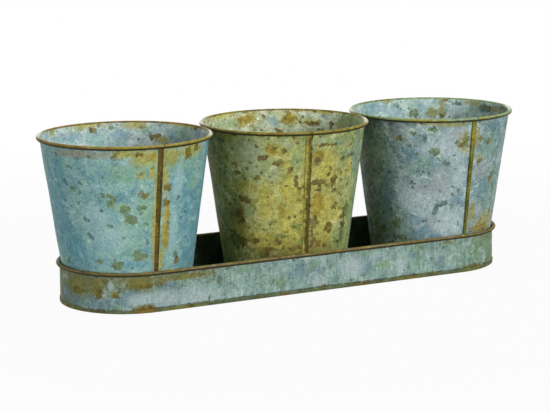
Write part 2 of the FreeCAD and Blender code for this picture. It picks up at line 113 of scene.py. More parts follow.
def pick(piece, kind, test):
    """In edit mode, selects the vertices, edges or faces for which test(item, middle) holds."""
    bpy.ops.mesh.select_mode(type=kind)
    bpy.ops.mesh.select_all(action="DESELECT")
    mesh = bmesh.from_edit_mesh(piece.data)
    items = {"VERT": mesh.verts, "EDGE": mesh.edges, "FACE": mesh.faces}[kind]
    chosen = [item for item in items if test(item, middle_of(item))]
    for item in chosen:
        item.select_set(True)
    bmesh.update_edit_mesh(piece.data)
    return len(chosen)


def apply_modifier(piece, kind, **settings):
    """Adds a modifier with its settings and applies it."""
    only(piece)
    bpy.ops.object.modifier_add(type=kind)
    modifier = piece.modifiers[-1]
    for name, setting in settings.items():
        setattr(modifier, name, setting)
    bpy.ops.object.modifier_apply(modifier=modifier.name)


# %% [markdown]
# ## The section of the sheet
# A pot is one strip of sheet, rolled into a cone. Its foot is folded inwards and up, and its
# top edge is curled outwards over a steel wire, which gives the rim its strength and its round
# bead. All of this is one line when the wall is cut through, so the line is worked out first,
# as pairs of a radius and a height. The wall leans, and just touches the inside of the curl.

# %% Work out the sections
SHEET = 0.4
WIRE_ROOM = 0.82
CURL = WIRE_ROOM + SHEET / 2
CURL_STEPS = 14
LIP_ANGLE = -120

pot_low, pot_high = (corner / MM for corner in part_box("middle_pot_wall"))
POT_FOOT_LEVEL = pot_low.z
POT_FOOT_RADIUS = 37.8
POT_RING = pot_high.x - WIRE_ROOM - SHEET
POT_RING_LEVEL = pot_high.z - WIRE_ROOM - SHEET


class Wall:
    """The outside line of a wall from its foot to the curl, and points at a depth inside it."""

    def __init__(self, foot_radius, foot_level, ring, ring_level):
        self.foot = (foot_radius, foot_level)
        self.ring = (ring, ring_level)
        reach = (ring - foot_radius, ring_level - foot_level)
        self.lean = math.atan2(*reach) - math.asin(WIRE_ROOM / math.hypot(*reach))

    def at(self, level, depth=SHEET / 2):
        up = level - self.foot[1] - depth * math.sin(self.lean)
        return (self.foot[0] - depth * math.cos(self.lean) + up * math.tan(self.lean), level)

    def depth(self, reach, level):
        """How deep a point lies behind the outside line."""
        return self.at(level, 0)[0] - reach

    def curl(self):
        """The middle of the sheet over the wire, from the wall round to the lip."""
        first = 180 - math.degrees(self.lean)
        sweep = LIP_ANGLE - first
        turns = [math.radians(first + sweep * i / CURL_STEPS) for i in range(CURL_STEPS + 1)]
        out, up = self.ring
        return [(out + CURL * math.cos(t), up + CURL * math.sin(t)) for t in turns]


def even_levels(low, high, rings):
    """The levels of rings at even steps above low, up to high."""
    step = (high - low) / rings
    return [low + step * (i + 1) for i in range(rings)]


pot_line = Wall(POT_FOOT_RADIUS, POT_FOOT_LEVEL, POT_RING, POT_RING_LEVEL)
HEM_DEPTH = 1.1
HEM_TOP = POT_FOOT_LEVEL + 2.55
FOLD_LEVEL = POT_FOOT_LEVEL + SHEET / 2
SEAM_START = POT_FOOT_LEVEL + 0.5
INNER_SEAM_START = POT_FOOT_LEVEL + 3.45
SEAM_END = 1.1
SEAM_TOP = POT_RING_LEVEL - SEAM_END
WALL_RINGS = 30
levels = [FOLD_LEVEL, SEAM_START, INNER_SEAM_START]
levels += even_levels(INNER_SEAM_START, SEAM_TOP, WALL_RINGS)
pot_section = [pot_line.at(HEM_TOP, HEM_DEPTH), pot_line.at(FOLD_LEVEL, HEM_DEPTH)]
pot_section += [pot_line.at(level) for level in levels] + pot_line.curl()
print(len(pot_section), "rings, leaning", round(math.degrees(pot_line.lean), 2), "degrees")

# %% [markdown]
# ## Rolling the wall
# A circle is the foot of the section. Each next ring is extruded from the last one and resized
# about the axis, as a metal spinner works up from the foot. The same steps make the tray, whose
# halves are pulled apart afterwards. The sheet isn't perfect: it is waved a little, less near
# the stiff foot and rim, and then it gets its thickness on both sides of the drawn line.

# %% Helpers that roll the sheet
def roll_can(name, section, sides, half_step=False):
    """An open can with a section of (radius, height), worked up ring by ring."""
    radius, level = section[0]
    bpy.ops.object.select_all(action="DESELECT")
    bpy.ops.mesh.primitive_circle_add(
        vertices=sides, radius=radius * MM, location=(0, 0, level * MM),
        rotation=(0, 0, math.pi / sides if half_step else 0),
    )
    can = bpy.context.object
    can.name = name
    bpy.ops.object.transform_apply()
    bpy.ops.object.mode_set(mode="EDIT")
    bpy.ops.mesh.select_all(action="SELECT")
    for (last_radius, last_level), (radius, level) in zip(section, section[1:]):
        rise = (0, 0, (level - last_level) * MM)
        bpy.ops.mesh.extrude_edges_move(TRANSFORM_OT_translate={"value": rise})
        growth = radius / last_radius
        bpy.ops.transform.resize(value=(growth, growth, 1), center_override=(0, 0, level * MM))
    bpy.ops.mesh.select_all(action="SELECT")
    bpy.ops.mesh.normals_make_consistent(inside=False)
    bpy.ops.object.mode_set(mode="OBJECT")
    return can


WAVE_DETAIL = 1


def wave_sheet(piece, low, high, fade, size, height):
    """Waves the sheet between two levels, fading out towards both, by up to half the height."""
    group = piece.vertex_groups.new(name="free sheet")
    for corner in piece.data.vertices:
        level = corner.co.z / MM
        share = min((level - low) / fade, (high - level) / fade, 1)
        group.add([corner.index], max(share, 0), "REPLACE")
    waves = bpy.data.textures.new(piece.name + "_waves", "CLOUDS")
    waves.noise_scale = size * MM
    waves.noise_depth = WAVE_DETAIL
    apply_modifier(
        piece, "DISPLACE", texture=waves, texture_coords="LOCAL", mid_level=0.5,
        strength=height * MM, vertex_group=group.name,
    )
    piece.vertex_groups.clear()


def thicken(piece):
    """Gives the sheet its thickness, half on each side of the drawn line."""
    apply_modifier(piece, "SOLIDIFY", thickness=SHEET * MM, offset=0, use_even_offset=True)


# %% Roll one pot
POT_SIDES = 144
STIFF_FOOT = 6
STIFF_RIM = 4
POT_FREE_SHEET = (POT_FOOT_LEVEL + STIFF_FOOT, POT_RING_LEVEL - STIFF_RIM)
pot = roll_can("pot_wall", pot_section, POT_SIDES)
wave_sheet(pot, *POT_FREE_SHEET, fade=14, size=30, height=0.7)
thicken(pot)
print("pot wall:", len(pot.data.polygons), "faces")

# %% [markdown]
# ## The lock seam
# The ends of the sheet are hooked into each other and pressed flat, which leaves a rib 3.5 mm
# wide down the front, proud on both sides. Two bisect cuts mark its edges across both skins.
# The faces between them are then extruded along their own normals, outside and inside in one
# go, and the rib's long edges are bevelled like folded sheet. On the rim the two ends of the
# bead meet in a small open joint, which is two more cuts and faces pushed in.

# %% Helpers for the seam
SEAM_WIDTH = 3.5
SEAM_RISE = 0.6
SEAM_EDGE = 0.25
SEAM_TAPER = 0.006
KEEP_APART = 1e-7
# How square to the front a face is at least, and how near it lies to the skin it belongs to.
FACING = 0.6
NEAR_SKIN = 0.35


def cut_across(piece, side, places, taper=0.0):
    """Cuts the faces that pass the test along planes x = place at the rim, tapering below."""
    for place in places:
        pick(piece, "FACE", side)
        lean = math.copysign(taper, place)
        bpy.ops.mesh.bisect(
            plane_co=(place * MM, 0, SEAM_TOP * MM), plane_no=(1, 0, -lean), threshold=KEEP_APART
        )


def raise_faces(piece, test, rise):
    """Extrudes the chosen faces along their normals and leaves the new tops selected."""
    count = pick(piece, "FACE", test)
    bpy.ops.mesh.extrude_region_shrink_fatten(
        TRANSFORM_OT_shrink_fatten={"value": rise * MM, "use_even_offset": False}
    )
    return count


# %% Fold the pot's seam
LONG_EDGE = 0.3
NEAR_RIB = 0.02
half_seam = SEAM_WIDTH / 2
only(pot)
bpy.ops.object.mode_set(mode="EDIT")
near_front = lambda face, middle: middle.y < 0 and abs(middle.x) < 2 * SEAM_WIDTH
cut_across(pot, near_front, (-half_seam, half_seam), SEAM_TAPER)


def half_at(level):
    """Half the rib's width at a level, as it narrows towards the foot."""
    return half_seam - SEAM_TAPER * (SEAM_TOP - level)


def pot_reach(middle):
    """How far a point is from the pot's axis."""
    return math.hypot(middle.x, middle.y)


def on_seam(face, middle):
    """Whether a face lies between the cuts, on the outer or the inner skin."""
    if middle.y > 0 or abs(middle.x) > half_at(middle.z) or abs(face.normal.y) < FACING:
        return False
    depth = pot_line.depth(pot_reach(middle), middle.z)
    if face.normal.y < 0:
        return SEAM_START < middle.z < SEAM_TOP and abs(depth) < NEAR_SKIN
    return INNER_SEAM_START < middle.z < SEAM_TOP and abs(depth - SHEET) < NEAR_SKIN


raised = raise_faces(pot, on_seam, SEAM_RISE)


def along_rib(edge, middle):
    """Whether an edge is one of the rib's long ones, proud of either skin."""
    first, second = (corner.co / MM for corner in edge.verts)
    upright = abs(first.z - second.z) > LONG_EDGE
    beside = abs(abs(middle.x) - half_at(middle.z)) < NEAR_RIB
    depth = pot_line.depth(pot_reach(middle), middle.z)
    proud = depth < -NEAR_SKIN or depth > SHEET + NEAR_SKIN
    return middle.y < 0 and upright and beside and proud


edges = pick(pot, "EDGE", along_rib)
bpy.ops.mesh.bevel(offset=SEAM_EDGE * MM, segments=3, affect="EDGES")
print("seam faces raised:", raised, "and edges rounded:", edges)

# %% Open the joint in the pot's bead
JOINT_PLACE = 1.2
JOINT_WIDTH = 0.5
JOINT_DEPTH = -0.28
NEAR_BEAD = 0.1
cut_across(pot, near_front, (JOINT_PLACE, JOINT_PLACE + JOINT_WIDTH))


def in_joint(face, middle):
    """Whether a face lies between the two cuts, on the outside of the bead."""
    from_wire = math.hypot(-middle.y - POT_RING, middle.z - POT_RING_LEVEL)
    across = JOINT_PLACE < middle.x < JOINT_PLACE + JOINT_WIDTH
    return middle.y < 0 and across and abs(from_wire - WIRE_ROOM - SHEET) < NEAR_BEAD


opened = raise_faces(pot, in_joint, JOINT_DEPTH)
bpy.ops.object.mode_set(mode="OBJECT")
print("joint faces pushed in:", opened)

# %% [markdown]
# ## The tray's band
# The band is rolled like the pots, with its rim round a wire too, but it stands straight. It is
# first a round can. Its right half is then moved to the right and its left half to the left,
# which stretches the edges between the halves into the long straight sides. Those are
# subdivided so that they can wave a little, as a long free sheet does. Its own lock seam is in
# the back wall.

# %% Roll and stretch the tray
tray_low, tray_high = (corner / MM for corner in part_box("tray_wall"))
TRAY_RING = tray_high.y - WIRE_ROOM - SHEET
TRAY_END = tray_high.x - tray_high.y
TRAY_RING_LEVEL = tray_high.z - WIRE_ROOM - SHEET
TRAY_FOOT_LEVEL = tray_low.z
TRAY_SIDES = 128
TRAY_RINGS = 12
STRAIGHT_STEPS = 96
TRAY_FREE_SHEET = (3, TRAY_RING_LEVEL - 1)

tray_line = Wall(TRAY_RING - WIRE_ROOM, TRAY_FOOT_LEVEL, TRAY_RING, TRAY_RING_LEVEL)
LIP_TOP = 2.25
TRAY_SEAM_START = TRAY_FOOT_LEVEL + 0.05
TRAY_SEAM_TOP = TRAY_RING_LEVEL - SEAM_END
levels = [TRAY_FOOT_LEVEL, TRAY_SEAM_START, LIP_TOP]
levels += even_levels(LIP_TOP, TRAY_SEAM_TOP, TRAY_RINGS)
tray_section = [tray_line.at(level) for level in levels] + tray_line.curl()
tray = roll_can("tray_band", tray_section, TRAY_SIDES, half_step=True)

only(tray)
bpy.ops.object.mode_set(mode="EDIT")
for side in (1, -1):
    pick(tray, "VERT", lambda corner, middle: middle.x * side > 0)
    bpy.ops.transform.translate(value=(side * TRAY_END * MM, 0, 0))
pick(tray, "EDGE", lambda edge, middle: edge.calc_length() > TRAY_END * MM)
bpy.ops.mesh.subdivide(number_cuts=STRAIGHT_STEPS - 1)
bpy.ops.object.mode_set(mode="OBJECT")
wave_sheet(tray, *TRAY_FREE_SHEET, fade=6, size=28, height=0.5)
thicken(tray)
print("tray band:", len(tray.data.polygons), "faces, ends at", round(TRAY_END, 2), "mm")

# %% Fold the tray's seam in the back
TRAY_SEAM_PLACE = 55
only(tray)
bpy.ops.object.mode_set(mode="EDIT")
near_back = lambda face, middle: middle.y > 0 and abs(middle.x - TRAY_SEAM_PLACE) < 2 * SEAM_WIDTH
cut_across(tray, near_back, (TRAY_SEAM_PLACE - half_seam, TRAY_SEAM_PLACE + half_seam))


def tray_reach(middle):
    """How far a point is from the straight line between the middles of the tray's ends."""
    return math.hypot(max(abs(middle.x) - TRAY_END, 0), middle.y)


def on_tray_seam(face, middle):
    """Whether a face lies between the tray's cuts, on the outer or the inner skin."""
    if middle.y < 0 or abs(middle.x - TRAY_SEAM_PLACE) > half_seam or abs(face.normal.y) < FACING:
        return False
    skin, start = (0, LIP_TOP) if face.normal.y > 0 else (SHEET, TRAY_SEAM_START)
    depth = tray_line.depth(tray_reach(middle), middle.z)
    return abs(depth - skin) < NEAR_SKIN and start < middle.z < TRAY_SEAM_TOP


raised = raise_faces(tray, on_tray_seam, SEAM_RISE)
bpy.ops.object.mode_set(mode="OBJECT")
print("tray seam faces raised:", raised)

# %% [markdown]
# ## Naming the surfaces
# One sheet has four finishes: its outside, its inside, the bead along the rim and the seam. A
# material slot is made for each, and the faces are given to it by their place, as one selects
# and assigns them by hand. Smooth shading by angle keeps the folded edges crisp.

# %% Sort the faces into slots
OUTSIDE, INSIDE, BEAD, SEAM = range(4)
SMOOTH_ANGLE = 35
# How deep in the sheet the inside begins, how far the rib's finish reaches past its edges, and
# how proud of the wall its faces are.
INNER_SHARE = 0.7
RIB_MARGIN = 0.05
POT_RIB_DEPTHS = (-1, -0.08)
TRAY_RIB_DEPTH = -0.3


def is_bead(line, out, level):
    """Whether a point lies on the sheet round the wire."""
    from_wire = math.hypot(out - line.ring[0], level - line.ring[1])
    above = level > line.ring[1] - WIRE_ROOM - SHEET - NEAR_BEAD
    return above and from_wire < WIRE_ROOM + SHEET + NEAR_BEAD


def sort_faces(piece, line, reach, seam_test):
    """Gives each face its slot. reach(middle) is its distance from the axis or middle line."""
    only(piece)
    for name in ("outside", "inside", "bead", "seam"):
        piece.data.materials.append(bpy.data.materials.new(f"{piece.name} {name}"))
        piece.data.materials[-1].use_nodes = True
    tests = {
        INSIDE: lambda face, middle: line.depth(reach(middle), middle.z) > SHEET * INNER_SHARE,
        SEAM: seam_test,
        BEAD: lambda face, middle: is_bead(line, reach(middle), middle.z),
    }
    bpy.ops.object.mode_set(mode="EDIT")
    for slot, test in tests.items():
        count = pick(piece, "FACE", test)
        piece.active_material_index = slot
        bpy.ops.object.material_slot_assign()
        print(piece.name, "slot", slot, "has", count, "faces")
    bpy.ops.object.mode_set(mode="OBJECT")
    bpy.ops.object.shade_smooth_by_angle(angle=math.radians(SMOOTH_ANGLE))


def pot_rib(face, middle):
    """Whether a face is part of a pot's rib."""
    depth = pot_line.depth(pot_reach(middle), middle.z)
    proud = POT_RIB_DEPTHS[0] < depth < POT_RIB_DEPTHS[1]
    return middle.y < 0 and abs(middle.x) < half_at(middle.z) + RIB_MARGIN and proud


def tray_rib(face, middle):
    """Whether a face is part of the tray's rib."""
    depth = tray_line.depth(tray_reach(middle), middle.z)
    across = abs(middle.x - TRAY_SEAM_PLACE) < half_seam + RIB_MARGIN
    return middle.y > 0 and across and depth < TRAY_RIB_DEPTH


sort_faces(pot, pot_line, pot_reach, pot_rib)
sort_faces(tray, tray_line, tray_reach, tray_rib)

# %% [markdown]
# ## Three pots from one
# The three pots are alike, so the finished one is copied, each copy with its own mesh. Each is
# turned so that its seam faces as on the photographed pot, and moved to its place in the row.
# The turn and the move are applied to the mesh, so that patterns stay put on the metal.

# %% Copy, turn and place the pots
# Each pot: how many degrees its seam is turned from the front.
POTS = {"left": 1.5, "middle": -10.5, "right": 1.0}
walls, middles = {}, {}
for side, turn in POTS.items():
    only(pot)
    bpy.ops.object.duplicate(linked=False)
    copy = bpy.context.object
    copy.name = f"{side}_pot_sheet"
    low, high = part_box(f"{side}_pot_wall")
    middles[side] = (low.x + high.x) / 2 / MM
    copy.location.x = middles[side] * MM
    copy.rotation_euler.z = math.radians(turn)
    bpy.ops.object.transform_apply()
    for slot in copy.material_slots:
        slot.material = slot.material.copy()
    walls[side] = copy
    print(copy.name, "stands at x =", round(middles[side], 1), "mm")
bpy.data.objects.remove(pot)
for material in [m for m in bpy.data.materials if m.name.startswith("pot_wall") and not m.users]:
    bpy.data.materials.remove(material)
tray.name = "tray_sheet"

# %% Hand the pieces to their bodies
for side, wall in walls.items():
    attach(wall, f"{side}_pot")
    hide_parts(f"{side}_pot_wall")
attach(tray, "tray")
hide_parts("tray_wall")

# %% [markdown]
# ## Colours and nodes
# A finish is a network of nodes. Colours are written in hex, as they look on a screen, and one
# function turns them to the linear light that Blender's nodes take. One small helper adds a node
# with its settings and links, so that a network reads as a list of steps.

# %% Helpers for materials
def linear(hex_colour):
    """An sRGB hex colour as the linear colour that Blender's nodes take."""
    values = [int(hex_colour[i : i + 2], 16) / 255 for i in (1, 3, 5)]
    return [v / 12.92 if v <= 0.04045 else ((v + 0.055) / 1.055) ** 2.4 for v in values] + [1]


def add_node(material, kind, links=None, out=0, **settings):
    """Adds a node, sets what it has, links or fills its inputs, and gives one of its outputs."""
    node = material.node_tree.nodes.new(kind)
    for name, setting in settings.items():
        setattr(node, name, setting)
    for socket, source in (links or {}).items():
        if isinstance(source, bpy.types.NodeSocket):
            material.node_tree.links.new(source, node.inputs[socket])
        else:
            node.inputs[socket].default_value = source
    return node if out is None else node.outputs[out]


# %% [markdown]
# ## The skin of zinc
# Hot-dip galvanised sheet is steel with a skin of zinc. The zinc sets in crystals a few
# millimetres across, which show as facets with pale feathery edges. Cloudy noises at several
# sizes, and Voronoi cells for facets and crystals, make that pattern. Everything reads Object
# coordinates in millimetres, so a pattern has its real size and stays put when a pot is lifted.
#
# The noises have a fourth coordinate, which the seed moves, so no two sheets look alike.

# %% The pattern of the zinc
CELL = 1.9
CRYSTAL = 5
WARP = 2.2
SWAY = 4.5
SWAY_DETAIL = 2.5
STREAK_LENGTH = 10

# Each noise: what it reads, its size in millimetres, its place in the fourth coordinate, detail,
# roughness and distortion. The grain and the streaks are drawn coarser than real to show at all.
NOISES = {
    "cloud": ("place", 26, 1.3, 3, 0.55, 0),
    "mottle": ("place", 6.5, 4.1, 4, 0.65, 0.5),
    "facets": ("cell_place", 7, 6.4, 2, 0.55, 0),
    "wisp": ("warped", 2.4, 7.7, 3, 0.55, 1.2),
    "grain": ("place", 0.8, 2.2, 2, 0.7, 0),
    "streak": ("drawn", 1.1, 9.4, 3, 0.55, 0),
    "specks": ("place", 1.1, 5.9, 1, 0.55, 0),
}


def zinc_pattern(material, seed, warp):
    """The places, cells and noises that the sheet and all its coats share."""
    add = partial(add_node, material)
    metres = add("ShaderNodeTexCoord", out="Object")
    place = add("ShaderNodeMapping", {"Vector": metres, "Scale": (1 / MM,) * 3})
    drawn_out = (1 / MM, 1 / MM, 1 / STREAK_LENGTH / MM)
    drawn = add("ShaderNodeMapping", {"Vector": metres, "Scale": drawn_out})
    loose = {"Vector": place, "Scale": 1 / SWAY, "Detail": SWAY_DETAIL}
    sway = add("ShaderNodeTexNoise", loose, out="Color")
    warped = add(
        "ShaderNodeVectorMath", {0: sway, 1: (warp,) * 3, 2: place}, operation="MULTIPLY_ADD"
    )
    cells = add("ShaderNodeTexVoronoi", {"Vector": place, "Scale": 1 / CELL}, out=None).outputs
    crystals = add("ShaderNodeTexVoronoi", {"Vector": warped, "Scale": 1 / CRYSTAL}, out="Color")
    zinc = {"place": place, "drawn": drawn, "warped": warped, "cell_place": cells["Position"]}
    zinc["cell"] = add("ShaderNodeSeparateColor", {0: cells["Color"]})
    zinc["crystal"] = add("ShaderNodeSeparateColor", {0: crystals})
    for name, (source, size, fourth, detail, roughness, distortion) in NOISES.items():
        zinc[name] = add(
            "ShaderNodeTexNoise",
            {"Vector": zinc[source], "W": fourth + seed, "Scale": 1 / size, "Detail": detail,
             "Roughness": roughness, "Distortion": distortion},
            noise_dimensions="4D",
        )
    return zinc


# %% [markdown]
# ## The sheet's own tone
# The patterns are added up by their shares, and the sum picks a colour on a ramp from the deep
# to the pale tones of the sheet. Where the wisps cross their middle value there is a thin line,
# and that makes the feathery edges of the crystals.
#
# A Map Range node turns a value into a soft edge. Its inputs 1 and 2 are where the edge starts
# and ends, and 3 and 4, where they are given, what comes out there.

# %% Helpers for the tone
# How much each pattern moves the tone: first at all strengths, then by the pattern's strength.
STEADY_SHARES = {"cloud": 0.34, "grain": 0.3}
PATTERN_SHARES = {"mottle": 0.46, "facets": 0.6, "crystal": 0.28, "cell": 0.14, "wisp": 0.7}
FIRST_TONE = 0.2
TONE_SPAN = 0.6
FEATHER = 0.65
FEATHER_EDGE = {1: 0.026, 2: -0.002}


def add_up(material, zinc, shares, start):
    """Adds patterns up by their shares, each counted from its middle of a half."""
    add = partial(add_node, material, "ShaderNodeMath")
    total = start
    for name, share in shares.items():
        centred = add({0: zinc[name], 1: 0.5}, operation="SUBTRACT")
        total = add({0: centred, 1: share, 2: total}, operation="MULTIPLY_ADD")
    return total


def sheet_tone(material, zinc, tones, pattern, streaks):
    """The bare sheet's colour: its tones by the patterns, and pale feathery lines."""
    add = partial(add_node, material)
    shares = STEADY_SHARES | {name: share * pattern for name, share in PATTERN_SHARES.items()}
    if streaks:
        shares["streak"] = streaks
    ramp = add("ShaderNodeValToRGB", {0: add_up(material, zinc, shares, 0.5)}, out=None)
    stops = ramp.color_ramp.elements
    while len(stops) < len(tones):
        stops.new(0.5)
    for i, hex_colour in enumerate(tones):
        stops[i].position = FIRST_TONE + TONE_SPAN * i / (len(tones) - 1)
        stops[i].color = linear(hex_colour)
    off_middle = add("ShaderNodeMath", {0: zinc["wisp"], 1: 0.5}, operation="SUBTRACT")
    off_middle = add("ShaderNodeMath", {0: off_middle}, operation="ABSOLUTE")
    line = add(
        "ShaderNodeMapRange", {0: off_middle} | FEATHER_EDGE, interpolation_type="SMOOTHSTEP"
    )
    line = add("ShaderNodeMath", {0: line, 1: FEATHER}, operation="MULTIPLY")
    colours = {0: line, 6: ramp.outputs[0], 7: linear(tones[-1])}
    return add("ShaderNodeMix", colours, out=2, data_type="RGBA")


# %% [markdown]
# ## The coats of the patina
# Acid and stains turned the zinc blue, green and ochre, and rust and dirt came on top. The eye
# sees a stack of coats of two kinds. A wash has cloudy edges. A flake has angular ones, because
# whole crystals took the stain, and it is drawn by testing the place of each Voronoi cell
# instead of the point's own place, so that a flake is made of whole cells.
#
# Random scatter alone would not look like this planter, so the washes and flakes that catch
# the eye are also placed one by one: a mark is a small ellipsoid laid on the sheet, and a Mapping
# node of the Texture kind measures how far a point is from its middle, as a share of its size.

# %% The kinds of coat
# Each coat: its light and deep colours, what it reads, half the width of its edge, its opacity
# and its roughness. A wash reads the warped place, a flake the place of its cell, and the coat of
# dirt and painted shade the plain place, because its lines are straight.
COATS = {
    "blue": ("#568c9c", "#3f7080", "warped", 0.5, 0.72, 0.55),
    "green": ("#8fae86", "#75976c", "warped", 0.5, 0.6, 0.6),
    "pale": ("#b9cbc8", "#9db4b2", "warped", 0.5, 0.65, 0.55),
    "mauve": ("#918d80", "#7f7f72", "warped", 0.45, 0.75, 0.6),
    "ochre": ("#b9ad45", "#807c34", "warped", 0.45, 0.78, 0.6),
    "amber": ("#a8851f", "#876a16", "warped", 0.4, 0.85, 0.65),
    "olive": ("#66783f", "#4a5c2b", "cell_place", 0.12, 0.8, 0.6),
    "brown": ("#7b6a20", "#57501a", "cell_place", 0.12, 0.88, 0.7),
    "dark": ("#4c5138", "#39402a", "cell_place", 0.12, 0.75, 0.65),
    "dirt": ("#453f15", "#2c280c", "place", 0.3, 0.85, 0.8),
}
WASHES = ["blue", "green", "pale", "mauve", "ochre", "amber"]
FLAKES = ["olive", "brown", "dark", "dirt"]
print(len(COATS), "kinds of coat")


# %% Measure how far a place is from the marks
def nearest_mark(material, place, marks, warp):
    """How far a place is from the nearest mark, as a share of that mark's own size."""
    add = partial(add_node, material)
    nearest = None
    for spot, turn, size, tilt in marks:
        mapped = add(
            "ShaderNodeMapping",
            {"Vector": place, "Location": [x + warp / 2 for x in spot],
             "Rotation": (math.radians(tilt), 0, math.radians(turn)), "Scale": size},
            vector_type="TEXTURE",
        )
        away = add("ShaderNodeVectorMath", {0: mapped}, out="Value", operation="LENGTH")
        if nearest is not None:
            away = add("ShaderNodeMath", {0: nearest, 1: away}, operation="MINIMUM")
        nearest = away
    return nearest


# %% Lay the coats
# What breaks up the outlines of washes and of flakes, and what makes a wash patchy within.
RAGGED = {"mottle": 1.0, "wisp": 0.9, "cell": 0.35}
BROKEN = {"cell": 0.3, "facets": 0.6}
PATCHY = {"mottle": 0.8, "wisp": 0.9, "cell": 0.35}
CRUST_ROUGHNESS = 0.6
MARK_EDGE = 0.92
SCATTER_SOFTNESS = 0.13
SCATTER_STEP = 3.3
SCATTER_ROUGHNESS = 0.55
WASH_DETAIL = 4
FLAKE_DETAIL = 2
WORN_EDGE = {1: 0.25, 2: 0.75}


def lay_coats(material, zinc, colour, order, marks, scatter, coats, seed, warp):
    """Lays the coats over a colour, bottom up. Gives the colour, the roughness and the masks."""
    add = partial(add_node, material)
    ragged, broken = (add_up(material, zinc, shares, 0) for shares in (RAGGED, BROKEN))
    patchy = add_up(material, zinc, PATCHY, 0.5)
    roughness, masks = CRUST_ROUGHNESS, {}
    for name in order:
        light, deep, reads, soft, opacity, rough = COATS[name]
        light, deep = coats.get(name, (light, deep))
        snap, source = reads == "cell_place", zinc[reads]
        found = []
        if marks.get(name):
            away = nearest_mark(material, source, marks[name], warp if reads == "warped" else 0)
            away = add("ShaderNodeMath", {0: away, 1: broken if snap else ragged})
            found.append((away, MARK_EDGE, soft))
        if name in scatter:
            size, rare = scatter[name]
            patches = add(
                "ShaderNodeTexNoise",
                {"Vector": source, "W": SCATTER_STEP * len(name) + ord(name[0]) + seed,
                 "Scale": 1 / size, "Detail": FLAKE_DETAIL if snap else WASH_DETAIL,
                 "Roughness": SCATTER_ROUGHNESS},
                noise_dimensions="4D",
            )
            away = add("ShaderNodeMath", {0: 1.0, 1: patches}, operation="SUBTRACT")
            found.append((away, 1 - rare, soft * SCATTER_SOFTNESS))
        mask = None
        for value, middle, half in found:
            span = {0: value, 1: middle + half, 2: middle - half}
            edge = add("ShaderNodeMapRange", span, interpolation_type="SMOOTHSTEP")
            if mask is not None:
                edge = add("ShaderNodeMath", {0: mask, 1: edge}, operation="MAXIMUM")
            mask = edge
        if mask is None:
            continue
        mask = add("ShaderNodeMath", {0: mask, 1: opacity}, operation="MULTIPLY")
        worn = add("ShaderNodeMapRange", {0: zinc["cell"] if snap else patchy} | WORN_EDGE)
        stain = {0: worn, 6: linear(deep), 7: linear(light)}
        paint = add("ShaderNodeMix", stain, out=2, data_type="RGBA")
        colour = add("ShaderNodeMix", {0: mask, 6: colour, 7: paint}, out=2, data_type="RGBA")
        roughness = add("ShaderNodeMix", {0: mask, 2: roughness, 3: rough})
        masks[name] = mask
    return colour, roughness, masks


# %% [markdown]
# ## The whole finish
# Over the coats come pits and dust: fine dark specks, and a grain all over. The crystals also
# stand a little proud, so they go into a bump. The crust is chalky and no longer a metal, but
# where rubbing has laid the zinc bare, and in the painted highlights at the rims' far sides, it
# is one, so that coat's mask drives Metallic.

# %% The finish of stained galvanised sheet
# Edges and spans are for Map Range nodes: the painted shade on what faces down, the pits, and
# the light of the grain.
SHADE_BELOW_EDGE = {1: 0.45, 2: -0.35}
PIT_EDGE = {1: 0.25, 2: 0.15}
PIT_CLOUDS = -0.16
PIT_DEPTH = -0.4
GRAIN_LIGHT = {1: 0.28, 2: 0.72, 3: 0.7, 4: 1.24}
BUMP_SHARES = {"mottle": 0.8, "crystal": 1.0, "grain": 0.6}
BUMP_STRENGTH = 0.4
BUMP_HEIGHT = 0.12
CRUST_SPECULAR = 0.2
BARE_SHINE = 0.8


